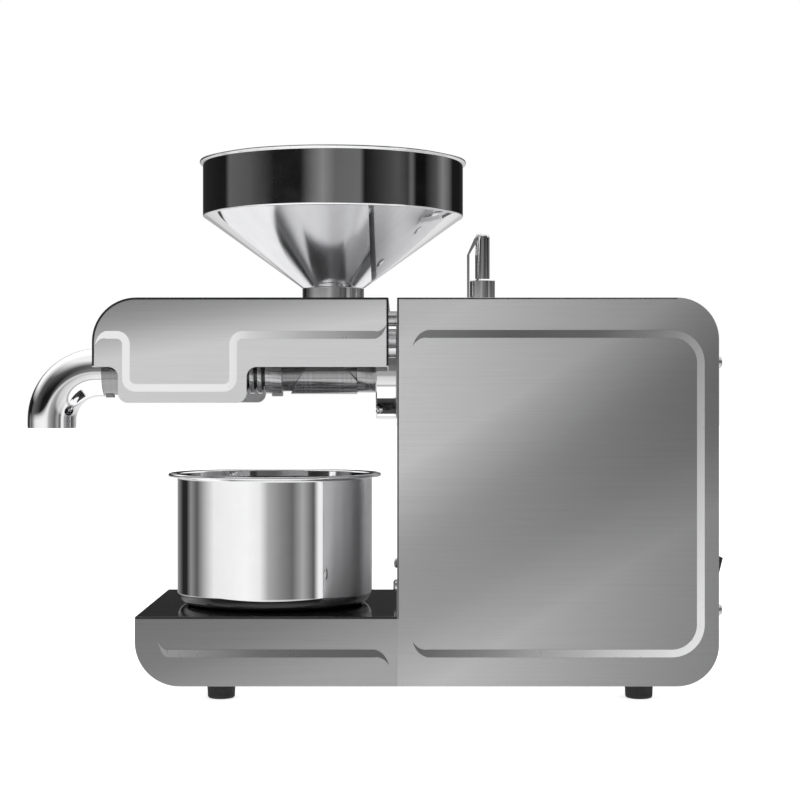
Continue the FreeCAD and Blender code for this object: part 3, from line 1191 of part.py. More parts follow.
def motor():
    """Motor can with its two end bells, rotor on its shaft and the cooling fan."""
    bearing_seat = "motor_shaft_radius + bearing_section + join_gap"
    shaft_hole = "motor_shaft_radius + bell_lip"
    turned("motor_can", "house_x", "0", "motor_height", [
        ("can_start", "motor_radius - can_wall"), ("can_start", "motor_radius"),
        ("can_end", "motor_radius"), ("can_end", "motor_radius - can_wall")])
    turned("motor_front_bell", "house_x", "0", "motor_height", [
        ("motor_start", shaft_hole), ("motor_start", "motor_radius"),
        ("can_start", "motor_radius"), ("can_start", bearing_seat),
        ("motor_start + bell_lip", bearing_seat), ("motor_start + bell_lip", shaft_hole)])
    turned("motor_rear_bell", "house_x", "0", "motor_height", [
        ("can_end", bearing_seat), ("can_end", "motor_radius"),
        ("motor_end", "motor_radius"), ("motor_end", shaft_hole),
        ("motor_end - bell_lip", shaft_hole), ("motor_end - bell_lip", bearing_seat)])
    turned("rotor", "house_x", "0", "motor_height", [
        ("fast_start - gear_gap / 2", "0"), ("fast_start - gear_gap / 2", "motor_shaft_radius"),
        ("can_start + rotor_gap", "motor_shaft_radius"), ("can_start + rotor_gap", "rotor_radius"),
        ("can_end - rotor_gap", "rotor_radius"), ("can_end - rotor_gap", "motor_shaft_radius"),
        ("fan_start + fan_width", "motor_shaft_radius"), ("fan_start + fan_width", "0")])
    fan = new_body("cooling_fan", "house_x + fan_start", "0", "motor_height")
    hub = new_sketch(fan, "YZ")
    draw_circles(hub, [("0", "0")], "fan_hub")
    draw_circles(hub, [("0", "0")], "motor_shaft_radius + slide_fit")
    pad(fan, hub, "fan_width")
    blade = new_sketch(fan, "YZ")
    draw_rectangle(blade, "fan_hub - overcut", "-blade_thickness / 2",
                   "fan_radius", "blade_thickness / 2")
    first = pad(fan, blade, "fan_width")
    ring = fan.newObject("PartDesign::PolarPattern", "cooling_fan_blades")
    ring.Originals = [first]
    ring.Axis = (blade, ["N_Axis"])
    ring.Angle = 360
    ring.setExpression("Occurrences", formula("fan_blades"))
    fan.Tip = ring


def drive_stand():
    """Folded stand from the housing's floor to the motor can: floor flange and cradle plate."""
    body = new_body("drive_stand", "house_x + can_start", "0", "floor_height")
    fold = new_sketch(body, "YZ")
    rise = "motor_height - floor_height"
    upper = f"{rise} - stand_drop"
    outer = "stand_half_width"
    inner = "stand_half_width - stand_thickness"
    draw_outline(fold, [
        (f"-{outer}", "0"), (outer, "0"), (outer, upper), (inner, upper),
        (inner, "stand_thickness"), (f"-({inner})", "stand_thickness"),
        (f"-({inner})", upper), (f"-{outer}", upper),
    ])
    pad(body, fold, "motor_length")
    drill(body, "YZ", [("0", rise)], "motor_radius + join_gap", "4 * motor_length")


# Controls on the end plate

def switch_bodies():
    """Three switch frames with their bodies behind the end plate, hollow for the rockers."""
    body = new_body("switch_bodies", "end_x + sheet", "0", "foot_height + switch_level")
    spots = [f"-half_depth + switch_first + {index} * switch_pitch" for index in range(3)]

    def rectangles(offset, inset):
        sketch = new_sketch(body, "YZ", offset)
        for middle in spots:
            half_width = f"(switch_width / 2 - ({inset}))"
            half_height = f"(switch_height / 2 - ({inset}))"
            draw_rectangle(sketch, f"{middle} - {half_width}", f"-{half_height}",
                           f"{middle} + {half_width}", half_height)
        return sketch

    pad(body, rectangles("0", "0"), "switch_frame")
    pad(body, rectangles("0", "switch_border / 2 + join_gap"), "switch_depth", backwards=True)
    pocket(body, rectangles("switch_frame", "switch_border"), "switch_frame + switch_depth / 2")


def rocker(name, index):
    """Rocker with two sloping faces; it rests leaning to its off side."""
    body = new_body(name, "end_x + sheet + switch_frame - pivot_depth",
                    f"-half_depth + switch_first + {index} * switch_pitch", "foot_height + switch_level")
    side = new_sketch(body, "XZ")
    draw_outline(side, [
        ("-rocker_root", "rocker_root"), ("-rocker_root", "-rocker_root"), ("rocker_rim", "-rocker_half"),
        ("rocker_end", "-rocker_half"), ("pivot_depth + rocker_rise", "0"),
        ("rocker_end", "rocker_half"), ("rocker_rim", "rocker_half"),
    ])
    pad(body, side, "switch_width - 2 * switch_border - 2 * rocker_gap", symmetric=True)
    body.Placement.Rotation = FreeCAD.Rotation(Vector(0, 1, 0), 0)
    body.setExpression("Placement.Rotation.Angle", formula("rocker_tilt"))
    return body


def mains_inlet():
    """Mains inlet: flange, body with its socket, and the three contact blades."""
    body = new_body("mains_inlet", "end_x + sheet", "half_depth - inlet_back", "foot_height + switch_level")
    flange = new_sketch(body, "YZ")
    draw_rectangle(flange, "-inlet_width / 2", "-inlet_height / 2", "inlet_width / 2", "inlet_height / 2")
    pad(body, flange, "inlet_flange")
    core = new_sketch(body, "YZ")
    half_width = "inlet_width / 2 - inlet_wall - join_gap"
    half_height = "inlet_height / 2 - 2 * inlet_wall - join_gap"
    draw_rectangle(core, f"-({half_width})", f"-({half_height})", half_width, half_height)
    pad(body, core, "inlet_depth", backwards=True)
    socket = new_sketch(body, "YZ", "inlet_flange")
    shoulder = f"({half_width} - inlet_wall)"
    low = f"-({half_height}) + inlet_wall"
    high = f"{half_height} - inlet_wall"
    draw_outline(socket, [
        (f"-{shoulder}", low), (shoulder, low), (shoulder, f"{high} - inlet_wall"),
        (f"{shoulder} - inlet_wall", high), (f"-{shoulder} + inlet_wall", high),
        (f"-{shoulder}", f"{high} - inlet_wall"),
    ])
    pocket(body, socket, "inlet_depth")
    blades = new_sketch(body, "YZ", "inlet_flange - inlet_depth")
    for across, up in (("0", "inlet_wall"), ("-contact_spread", "-inlet_wall"),
                       ("contact_spread", "-inlet_wall")):
        draw_rectangle(blades, f"{across} - contact_thickness / 2", f"{up} - contact_width / 2",
                       f"{across} + contact_thickness / 2", f"{up} + contact_width / 2")
    pad(body, blades, "contact_length")


def control_board():
    """Board with relay blocks on four posts over the housing's floor."""
    body = new_body("control_board", "house_x + board_start", "0", "floor_height")
    spots = [(x, f"{side} * (board_width / 2 - board_post_inset)")
             for x in ("board_post_inset", "board_length - board_post_inset") for side in (-1, 1)]
    posts = new_sketch(body, "XY")
    draw_circles(posts, spots, "board_post")
    pad(body, posts, "board_rise")
    board = new_sketch(body, "XY", "board_rise")
    draw_rectangle(board, "0", "-board_width / 2", "board_length", "board_width / 2")
    pad(body, board, "board_thickness")
    relays = new_sketch(body, "XY", "board_rise + board_thickness")
    for index in range(3):
        start = f"relay_start + {index} * relay_pitch"
        draw_rectangle(relays, start, "-relay_width / 2", f"{start} + relay_length", "relay_width / 2")
    pad(body, relays, "relay_height")


def build():
    housing_front_panel()
    housing_rear_panel()
    housing_wrap()
    bulkhead()
    end_plate()
    base_shell()
    tray_plate()
    feet()
    hood()
    panel_screws()
    barrel()
    feed_saddle()
    end_nut()
    cake_elbow()
    press_screw()
    ring_stack("screw_bush", "house_x", "0", "axis_height",
               [("shank_length - bush_length", "shank_length", "journal_radius + slide_fit", "bore_radius")])
    seat_sleeve()
    seat_plunger()
    heater_band()
    thermostat()
    lock()
    hopper()
    bowl()
    gears()
    output_shaft()
    gear_case()
    bearings()
    motor()
    drive_stand()
    switch_bodies()
    for index, name in enumerate(("heat_rocker", "press_rocker", "clear_rocker")):
        rocker(name, index)
    mains_inlet()
    control_board()


def check():
    """Stop before anything is written if a feature failed or a cut removed nothing."""
    for item in doc.Objects:
        if "Invalid" in item.State or "Error" in item.State:
            raise ValueError(f"{item.Name} failed: {item.State}")
        if item.TypeId in ("PartDesign::Pocket", "PartDesign::Groove"):
            if item.BaseFeature.Shape.Volume - item.Shape.Volume < 1e-3:
                raise ValueError(f"{item.Name} cuts nothing")
    for node in nodes:
        if node.Shape.isNull() or not node.Shape.isValid():
            raise ValueError(f"{node.Label} has no valid shape")


build()
doc.recompute()
check()
os.makedirs("parts", exist_ok=True)
for node in nodes:
    node.Shape.exportStep(f"parts/{node.Label}.step")
print(len(nodes), "nodes written")
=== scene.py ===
"""Looks of the screw oil press: materials, polished bands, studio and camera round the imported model.

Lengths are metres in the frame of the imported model: X runs along the pressing screw towards the
drive housing, Y from front to back, Z up, and the table is at zero height. Tones are linear, with
1 for white.
"""
import json
import math

import bpy
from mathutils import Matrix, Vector


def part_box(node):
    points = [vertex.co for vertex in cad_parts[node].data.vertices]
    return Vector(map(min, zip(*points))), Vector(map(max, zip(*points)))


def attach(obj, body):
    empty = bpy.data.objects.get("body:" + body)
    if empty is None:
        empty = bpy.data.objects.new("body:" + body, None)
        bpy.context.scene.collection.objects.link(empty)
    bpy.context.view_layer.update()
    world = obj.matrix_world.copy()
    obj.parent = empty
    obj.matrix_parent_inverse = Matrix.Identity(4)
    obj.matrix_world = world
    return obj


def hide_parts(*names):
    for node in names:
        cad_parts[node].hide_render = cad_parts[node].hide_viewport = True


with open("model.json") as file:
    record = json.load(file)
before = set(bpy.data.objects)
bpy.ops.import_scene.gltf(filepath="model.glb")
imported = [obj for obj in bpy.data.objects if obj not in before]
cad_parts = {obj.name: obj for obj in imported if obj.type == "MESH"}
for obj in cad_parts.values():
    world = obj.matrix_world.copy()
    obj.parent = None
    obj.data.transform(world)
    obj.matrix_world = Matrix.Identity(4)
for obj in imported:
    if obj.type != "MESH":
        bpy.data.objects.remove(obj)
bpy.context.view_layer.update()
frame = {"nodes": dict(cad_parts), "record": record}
NODES = frame["nodes"]
MM = 0.001

# Places read from the frame
HOUSE_LOW, HOUSE_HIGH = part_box("housing_front_panel")
BASE_LOW, BASE_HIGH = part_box("base_front_panel")
HOOD_LOW, HOOD_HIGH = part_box("hood_front_panel")
HOPPER_LOW, HOPPER_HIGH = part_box("feed_hopper")
BOWL_LOW, BOWL_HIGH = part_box("oil_bowl")
BARREL_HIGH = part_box("press_barrel")[1]
FRONT = HOUSE_LOW.y              # front face of housing, hood and base
RIB_RADIUS = BARREL_HIGH.y
AXIS_HEIGHT = BARREL_HIGH.z - RIB_RADIUS
GROOVE_DEPTH = 1.8 * MM
GROOVE_RADIUS = RIB_RADIUS - GROOVE_DEPTH


# Material helpers

def ramp(tree, source, stops, interpolation="LINEAR"):
    """A colour ramp through (place, brightness) stops."""
    node = tree.nodes.new("ShaderNodeValToRGB")
    node.color_ramp.interpolation = interpolation
    elements = node.color_ramp.elements
    while len(elements) > 1:
        elements.remove(elements[-1])
    for index, (place, value) in enumerate(stops):
        element = elements[0] if index == 0 else elements.new(place)
        element.position = place
        element.color = (value, value, value, 1.0)
    tree.links.new(source, node.inputs["Fac"])
    return node.outputs["Color"]


def new_material(name, color, roughness, metallic=0.0):
    """A principled material with plain numbers on its sockets, over which noise is linked later."""
    material = bpy.data.materials.new(name)
    material.use_nodes = True
    shader = shader_of(material)
    shader.inputs["Base Color"].default_value = (*color, 1.0)
    shader.inputs["Roughness"].default_value = roughness
    shader.inputs["Metallic"].default_value = metallic
    return material


def shader_of(material):
    return material.node_tree.nodes["Principled BSDF"]


def add_node(material, kind, **settings):
    """A new node with the given settings."""
    node = material.node_tree.nodes.new(kind)
    for key, value in settings.items():
        setattr(node, key, value)
    return node


def link(material, source, target):
    material.node_tree.links.new(source, target)


def object_point(material):
    """The surface point in the object's own metres."""
    return add_node(material, "ShaderNodeTexCoord").outputs["Object"]


def object_axes(material):
    """The three coordinates of the surface point, each as a socket."""
    axes = add_node(material, "ShaderNodeSeparateXYZ")
    link(material, object_point(material), axes.inputs["Vector"])
    return axes.outputs


def noise(material, cells, detail=3.0, rough=0.55):
    """Noise with so many cells per metre along each axis."""
    mapping = add_node(material, "ShaderNodeMapping")
    mapping.inputs["Scale"].default_value = cells
    link(material, object_point(material), mapping.inputs["Vector"])
    texture = add_node(material, "ShaderNodeTexNoise")
    texture.inputs["Scale"].default_value = 1.0
    texture.inputs["Detail"].default_value = detail
    texture.inputs["Roughness"].default_value = rough
    link(material, mapping.outputs["Vector"], texture.inputs["Vector"])
    return texture.outputs["Fac"]


def grains(material, cells, detail=3.0):
    """Noise with the same number of cells per metre along every axis."""
    return noise(material, (cells, cells, cells), detail)


NOISE_LOW, NOISE_HIGH = 0.3, 0.7  # nearly all of the noise lies between these


def spread(material, source, low, high, source_low=NOISE_LOW, source_high=NOISE_HIGH):
    """The source stretched from its own range to a new one."""
    remap = add_node(material, "ShaderNodeMapRange")
    for socket, value in (("From Min", source_low), ("From Max", source_high),
                          ("To Min", low), ("To Max", high)):
        remap.inputs[socket].default_value = value
    link(material, source, remap.inputs["Value"])
    return remap.outputs["Result"]


def vary_gloss(material, source, low, high):
    """Roughness between two values, led by the source."""
    link(material, spread(material, source, low, high), shader_of(material).inputs["Roughness"])


def shade(material, source, dark, light):
    """Base colour between two tones, led by the source."""
    mix = add_node(material, "ShaderNodeMix", data_type="RGBA")
    mix.inputs["A"].default_value = (*dark, 1.0)
    mix.inputs["B"].default_value = (*light, 1.0)
    link(material, spread(material, source, 0.0, 1.0), mix.inputs["Factor"])
    link(material, mix.outputs["Result"], shader_of(material).inputs["Base Color"])


def drift(material, low, high, across, upward, stops):
    """Painted reflection and shade: a slow change of tone over a box, through (place, factor) stops.

    Across and upward weigh the shares of its width and height; a negative weight runs from the
    far side.
    """
    axes = object_axes(material)
    width = spread(material, axes["X"], max(-across, 0.0), max(across, 0.0), low.x, high.x)
    height = spread(material, axes["Z"], max(-upward, 0.0), max(upward, 0.0), low.z, high.z)
    place = add_node(material, "ShaderNodeMath", operation="ADD")
    link(material, width, place.inputs[0])
    link(material, height, place.inputs[1])
    return ramp(material.node_tree, place.outputs["Value"], stops, "CARDINAL")


def tint(material, tones):
    """Multiply the base colour by the tones."""
    mix = add_node(material, "ShaderNodeMix", data_type="RGBA", blend_type="MULTIPLY")
    mix.inputs["Factor"].default_value = 1.0
    target = shader_of(material).inputs["Base Color"]
    if target.links:
        link(material, target.links[0].from_socket, mix.inputs["A"])
    else:
        mix.inputs["A"].default_value = target.default_value
    link(material, tones, mix.inputs["B"])
    link(material, mix.outputs["Result"], target)


def relief(material, source, depth):
    """Fine relief of the given depth, led by the source."""
    bump = add_node(material, "ShaderNodeBump")
    bump.inputs["Distance"].default_value = depth
    bump.inputs["Strength"].default_value = 1.0
    link(material, source, bump.inputs["Height"])
    link(material, bump.outputs["Normal"], shader_of(material).inputs["Normal"])


def cross(material, first, second):
    """Cross product of two directions, each a socket or plain numbers."""
    node = add_node(material, "ShaderNodeVectorMath", operation="CROSS_PRODUCT")
    for socket, value in zip(node.inputs, (first, second)):
        if isinstance(value, tuple):
            socket.default_value = value
        else:
            link(material, value, socket)
    return node.outputs["Vector"]


def surface_normal(material):
    return add_node(material, "ShaderNodeNewGeometry").outputs["Normal"]


def draw_out(material, tangent, stretch):
    """Reflections drawn out across fine scratches that run as the tangent says."""
    shader = shader_of(material)
    shader.inputs["Anisotropic"].default_value = stretch
    link(material, tangent, shader.inputs["Tangent"])


def turned_marks(material, axis, stretch):
    """Reflections drawn out across the fine rings that turning leaves round an axis."""
    normal = surface_normal(material)
    draw_out(material, cross(material, normal, cross(material, axis, normal)), stretch)


def grey(value):
    """The very slightly blue grey of steel."""
    return (value, value, value * 1.01)


# Materials

BRUSHED_ALONG = (1.0, 0.1, 0.0)  # along X, and along Y on the end faces
BARREL_AXIS = (1.0, 0.0, 0.0)
UPRIGHT = (0.0, 0.0, 1.0)
BRUSHED_STRETCH = 0.85
SPUN_STRETCH = 0.9
HAZE_CELLS = 60.0                # cells per metre of the haze on polished metal


def brushed_sheet(name, tone=0.80, metallic=0.75):
    """Horizontally brushed stainless sheet: fine long streaks in tone, gloss and relief."""
    material = new_material(name, grey(tone), roughness=0.32, metallic=metallic)
    draw_out(material, cross(material, surface_normal(material), BRUSHED_ALONG), BRUSHED_STRETCH)
    streaks = noise(material, (14.0, 900.0, 2600.0), detail=4.0, rough=0.7)
    shade(material, streaks, grey(tone * 0.94), grey(tone * 1.04))
    vary_gloss(material, noise(material, (9.0, 300.0, 900.0)), 0.42, 0.52)
    relief(material, streaks, 0.008 * MM)
    return material


def polished_steel():
    """Mirror polished stainless with faint haze."""
    material = new_material("polished_steel", grey(0.91), roughness=0.05, metallic=1.0)
    haze = grains(material, HAZE_CELLS)
    shade(material, haze, grey(0.89), grey(0.93))
    vary_gloss(material, haze, 0.035, 0.075)
    return material


def turned_steel(name, tone=0.46):
    """Turned steel: fine rings round the X axis."""
    material = new_material(name, grey(tone), roughness=0.2, metallic=1.0)
    rings = noise(material, (1500.0, 1.5, 1.5), detail=1.0)
    shade(material, rings, grey(tone * 0.93), grey(tone * 1.07))
    vary_gloss(material, rings, 0.17, 0.24)
    turned_marks(material, BARREL_AXIS, BRUSHED_STRETCH)
    return material


def square_of(material, source):
    """The source times itself."""
    square = add_node(material, "ShaderNodeMath", operation="MULTIPLY")
    link(material, source, square.inputs[0])
    link(material, source, square.inputs[1])
    return square.outputs["Value"]


def barrel_steel():
    """Turned steel with painted shade in the grooves between the ribs, which turn darker inward."""
    material = turned_steel("barrel_steel", 0.5)
    axes = object_axes(material)
    height = add_node(material, "ShaderNodeMath", operation="SUBTRACT")
    link(material, axes["Z"], height.inputs[0])
    height.inputs[1].default_value = AXIS_HEIGHT
    radius_squared = add_node(material, "ShaderNodeMath", operation="ADD")
    link(material, square_of(material, axes["Y"]), radius_squared.inputs[0])
    link(material, square_of(material, height.outputs["Value"]), radius_squared.inputs[1])
    depth = spread(material, radius_squared.outputs["Value"], 0.0, 1.0,
                   GROOVE_RADIUS ** 2, RIB_RADIUS ** 2)
    # Painted shade: darker towards the bottom of each groove.
    tint(material, ramp(material.node_tree, depth, [(0.0, 0.12), (0.05, 0.12), (0.1, 0.6), (1.0, 1.0)]))
    return material


def spun_steel():
    """Polished sheet spun on a lathe: reflections run from the neck to the rim."""
    material = new_material("spun_steel", grey(0.91), roughness=0.06, metallic=1.0)
    haze = grains(material, HAZE_CELLS)
    shade(material, haze, grey(0.89), grey(0.93))
    vary_gloss(material, haze, 0.03, 0.06)
    turned_marks(material, UPRIGHT, SPUN_STRETCH)
    return material


def bright_sheet():
    """Bright rolled stainless sheet, left unbrushed."""
    material = new_material("bright_sheet", grey(0.8), roughness=0.14, metallic=1.0)
    haze = grains(material, 30.0)
    shade(material, haze, grey(0.76), grey(0.83))
    vary_gloss(material, haze, 0.10, 0.17)
    return material


def screw_steel():
    """Plated steel of the small screws."""
    material = new_material("screw_steel", grey(0.62), roughness=0.25, metallic=1.0)
    grain = grains(material, 900.0)
    shade(material, grain, grey(0.55), grey(0.68))
    vary_gloss(material, grain, 0.18, 0.34)
    return material


def black_tray():
    """Gloss black enamel with a slight orange peel."""
    material = new_material("black_tray", (0.012, 0.012, 0.013), roughness=0.08)
    shader_of(material).inputs["Specular IOR Level"].default_value = 0.65
    peel = grains(material, 240.0, detail=1.0)
    shade(material, grains(material, 40.0), (0.006, 0.006, 0.007), (0.010, 0.010, 0.011))
    vary_gloss(material, peel, 0.05, 0.10)
    relief(material, peel, 0.004 * MM)
    return material


def rubber():
    """Dull black rubber of the feet."""
    material = new_material("rubber", (0.02, 0.02, 0.02), roughness=0.7)
    grain = grains(material, 1400.0)
    shade(material, grain, (0.012, 0.012, 0.012), (0.03, 0.03, 0.03))
    vary_gloss(material, grain, 0.6, 0.85)
    relief(material, grain, 0.04 * MM)
    return material


def bronze():
    """Porous sintered bronze of the bush."""
    material = new_material("bronze", (0.55, 0.36, 0.16), roughness=0.4, metallic=1.0)
    pores = grains(material, 1500.0)
    shade(material, pores, (0.46, 0.29, 0.12), (0.62, 0.42, 0.19))
    vary_gloss(material, pores, 0.3, 0.5)
    return material


def brass_band():
    """Brass jacket of the heater, slightly discoloured by heat."""
    material = new_material("brass_band", (0.70, 0.52, 0.24), roughness=0.3, metallic=1.0)
    heat = grains(material, 50.0)
    shade(material, heat, (0.60, 0.40, 0.18), (0.76, 0.60, 0.32))
    vary_gloss(material, heat, 0.22, 0.38)
    return material


def cast_case():
    """As-cast aluminium."""
    material = new_material("cast_case", grey(0.52), roughness=0.5, metallic=1.0)
    skin = grains(material, 500.0)
    shade(material, skin, grey(0.45), grey(0.60))
    vary_gloss(material, skin, 0.42, 0.62)
    relief(material, skin, 0.08 * MM)
    return material


def motor_paint():
    """Black paint of the motor."""
    material = new_material("motor_paint", (0.03, 0.03, 0.034), roughness=0.4)
    peel = grains(material, 400.0)
    shade(material, peel, (0.024, 0.024, 0.028), (0.038, 0.038, 0.043))
    vary_gloss(material, peel, 0.34, 0.48)
    relief(material, peel, 0.02 * MM)
    return material


def black_plastic():
    """Moulded black plastic with a fine spark-eroded grain."""
    material = new_material("black_plastic", (0.018, 0.018, 0.019), roughness=0.42)
    grain = grains(material, 2500.0)
    shade(material, grain, (0.013, 0.013, 0.014), (0.024, 0.024, 0.025))
    vary_gloss(material, grain, 0.36, 0.5)
    relief(material, grain, 0.02 * MM)
    return material


def board():
    """Green circuit board."""
    material = new_material("board", (0.02, 0.10, 0.04), roughness=0.35)
    weave = grains(material, 700.0)
    shade(material, weave, (0.015, 0.08, 0.03), (0.03, 0.13, 0.05))
    vary_gloss(material, weave, 0.28, 0.42)
    return material


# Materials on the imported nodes

def set_finish(name, finish):
    for holder in NODES[name].material_slots:
        holder.material = finish


def dress_nodes():
    """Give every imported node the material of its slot."""
    finishes = {
        "brushed_sheet": brushed_sheet("brushed_sheet"),
        "polished_steel": polished_steel(),
        "turned_steel": turned_steel("turned_steel"),
        "screw_steel": screw_steel(),
        "black_tray": black_tray(),
        "rubber": rubber(),
        "bronze": bronze(),
        "brass_band": brass_band(),
        "cast_case": cast_case(),
        "motor_paint": motor_paint(),
        "black_plastic": black_plastic(),
        "board": board(),
    }
    for subpart in frame["record"]["subparts"]:
        set_finish(subpart["node"], finishes[subpart["material_slot"]])
    set_finish("press_barrel", barrel_steel())
    # Painted shade: the nut and the saddle get darker copies of the turned steel.
    set_finish("end_nut", turned_steel("nut_steel", 0.32))
    set_finish("feed_saddle", turned_steel("saddle_steel", 0.38))
    set_finish("hood_wrap", bright_sheet())
    return finishes


# Front panels: how metallic, then sweeps of tone as weights of width and height with stops for drift.
# The sweeps are painted reflection and shade, and the base panel's low factors paint it darker
PANELS = {
    "housing_front_panel": (0.7, [
        (0.34, -0.66, [(0.0, 0.84), (0.1, 1.04), (0.2, 1.25), (0.3, 0.98), (0.4, 0.69), (0.5, 0.59),
                       (0.6, 0.71), (0.7, 1.02), (0.8, 1.38), (1.0, 2.5)]),
        (1.0, 0.0, [(0.0, 1.0), (1.0, 0.46)]),
    ]),
    "hood_front_panel": (0.55, [
        (0.3, -0.7, [(0.0, 0.33), (0.25, 0.64), (0.5, 1.1), (0.65, 1.22), (1.0, 1.25)]),
    ]),
    "base_front_panel": (0.75, [
        (0.6, -0.4, [(0.0, 0.33), (0.4, 0.43), (0.7, 0.64), (1.0, 0.74)]),
    ]),
}


def local_box(node):
    """Low and high corners of a node in its own metres."""
    corners = [Vector(corner) for corner in node.bound_box]
    low = Vector([min(corner[axis] for corner in corners) for axis in range(3)])
    high = Vector([max(corner[axis] for corner in corners) for axis in range(3)])
    return low, high


def panels():
    """The three front panels, each with its own slow changes of tone: painted reflection and shade."""
    for name, (metallic, sweeps) in PANELS.items():
        finish = brushed_sheet(f"brushed_{name}", metallic=metallic)
        low, high = local_box(NODES[name])
        for across, upward, stops in sweeps:
            tint(finish, drift(finish, low, high, across, upward, stops))
        set_finish(name, finish)


# Strips on the front faces

STRIP_RISE = 0.15 * MM
ARC_STEPS = 14


def rounded_path(corners, radii):
    """The corners joined by straight lines, each inner corner rounded to its own radius."""
    path = [Vector(corners[0])]
    for before, corner, after, radius in zip(corners, corners[1:], corners[2:], radii):
        corner = Vector(corner)
        if radius == 0:
            path.append(corner)
            continue
        towards_start = (Vector(before) - corner).normalized()
        towards_end = (Vector(after) - corner).normalized()
        half = towards_start.angle(towards_end) / 2
        setback = radius / math.tan(half)
        middle = corner + (towards_start + towards_end).normalized() * radius / math.sin(half)
        first = (corner + towards_start * setback - middle).normalized()
        last = (corner + towards_end * setback - middle).normalized()
        for step in range(ARC_STEPS + 1):
            path.append(middle + first.slerp(last, step / ARC_STEPS) * radius)
    path.append(Vector(corners[-1]))
    return path


def strip(name, path, widths, finish):
    """A thin strip on the front face along a path of (x, z) points with a width at each."""
    count = len(path)
    vertices = []
    for index, point in enumerate(path):
        before = path[max(index - 1, 0)]
        after = path[min(index + 1, count - 1)]
        along = (after - before).normalized()
        side = Vector((-along.y, along.x)) * widths[index] / 2
        for edge in (point + side, point - side):
            vertices.append((edge.x, FRONT + STRIP_RISE, edge.y))
            vertices.append((edge.x, FRONT - STRIP_RISE, edge.y))
    faces = []
    for index in range(count - 1):
        near = index * 4
        far = near + 4
        faces.append((near + 1, far + 1, far + 3, near + 3))
        faces.append((near, near + 1, far + 1, far))
        faces.append((near + 2, far + 2, far + 3, near + 3))
    mesh = bpy.data.meshes.new(name)
    mesh.from_pydata(vertices, [], faces)
    mesh.materials.append(finish)
    piece = bpy.data.objects.new(name, mesh)
    bpy.context.scene.collection.objects.link(piece)
    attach(piece, "root")


# Polished bands: common stripes, whose places were read off the front faces in millimetres to the
# right of the housing's left face and above the table. Corners run along the band's middle and bend
# to one radius. Each end has a tip and the point that its curve leans to. Tone drifts over the panel
# as a painted reflection.
BAND_WIDTH = 4.9 * MM
TIP_SHARE = 0.02                 # width left at a tip
BANDS = {
    "housing": {
        "panel": (HOUSE_LOW, HOUSE_HIGH),
        "corners": [(19.7, 233.7), (192.6, 233.7), (192.6, 31.1), (19.7, 31.1)],
        "bend": 18.4,
        "start": [(10.1, 226.3), (13.2, 233.2)],
        "end": [(10.1, 38.3), (13.2, 31.6)],
        "tone": (0.6, -0.4, [(0.1, 0.19), (0.22, 0.13), (0.34, 0.13), (0.44, 0.17), (0.58, 0.34),
                             (0.73, 0.58), (0.87, 0.88), (1.0, 1.0)]),
    },
    "hood": {
        "panel": (HOOD_LOW, HOOD_HIGH),
        "corners": [(-184.4, 233.1), (-171.8, 233.1), (-171.8, 199.5), (-103.8, 199.5), (-103.8, 233.1),
                    (-14.0, 233.1)],
        "bend": 6.0,
        "start": [(-191.4, 227.0), (-189.0, 232.8)],
        "end": [(-6.7, 239.4), (-9.6, 233.4)],
        "tone": (1.0, 0.0, [(0.0, 0.96), (0.46, 0.96), (0.53, 0.75), (0.69, 0.54), (0.84, 0.38),
                            (1.0, 0.25)]),
    },
    "base": {
        "panel": (BASE_LOW, BASE_HIGH),
        "corners": [(-145.3, 31.1), (-14.3, 31.1)],
        "bend": 0.0,
        "start": [(-151.4, 38.3), (-148.6, 31.6)],
        "end": [(-5.2, 23.9), (-8.4, 30.6)],
        "tone": (1.0, 0.0, [(0.0, 0.38), (0.4, 0.2), (0.6, 0.14), (1.0, 0.12)]),
    },
}


def face_point(place):
    """The (x, z) point of a place that is given in millimetres as in BANDS."""
    right_of_face, height = place
    return Vector((HOUSE_LOW.x + right_of_face * MM, height * MM))


def hook(end, start):
    """Points from the tip of a band's end, along its curve, towards the start of the straight part."""
    tip, lean = [face_point(place) for place in end]
    points = []
    for step in range(ARC_STEPS):
        share = step / ARC_STEPS
        points.append(tip * (1 - share) ** 2 + lean * 2 * share * (1 - share) + start * share ** 2)
    return points


def band_finish(name, low, high, across, upward, stops):
    """Bright satin film whose tone drifts along the band as a painted reflection."""
    material = new_material(name, grey(0.97), roughness=0.3, metallic=0.2)
    tint(material, drift(material, low, high, across, upward, stops))
    vary_gloss(material, grains(material, HAZE_CELLS), 0.25, 0.35)
    return material


def bands():
    """The polished bands on the housing, the hood and the base."""
    growth = [BAND_WIDTH * max(step / ARC_STEPS, TIP_SHARE) for step in range(ARC_STEPS)]
    for name, plan in BANDS.items():
        corners = [face_point(place) for place in plan["corners"]]
        middle = rounded_path(corners, [plan["bend"] * MM] * (len(corners) - 2))
        path = hook(plan["start"], middle[0]) + middle + hook(plan["end"], middle[-1])[::-1]
        widths = growth + [BAND_WIDTH] * len(middle) + growth[::-1]
        strip(f"{name}_band", path, widths, band_finish(f"band_{name}", *plan["panel"], *plan["tone"]))


# Shadow lines of the folds along the panels' edges

FOLD_WIDTH = 1.3 * MM
FOLD_INSET = FOLD_WIDTH / 2
FOLD_SHARES = (0.4, 1.0, 0.3)    # width at the housing's lower end, corner and right end
HOUSE_CORNER = 26.5 * MM         # radius of the housing's upper right corner
HOOD_CORNER = 28.0 * MM          # radius of the hood's upper left corner
HOOD_TIGHT = 0.5 * MM            # radius of its upper right corner
HOOD_SIDE_LOW = 213.5 * MM       # lower end of the hood's left and right edges


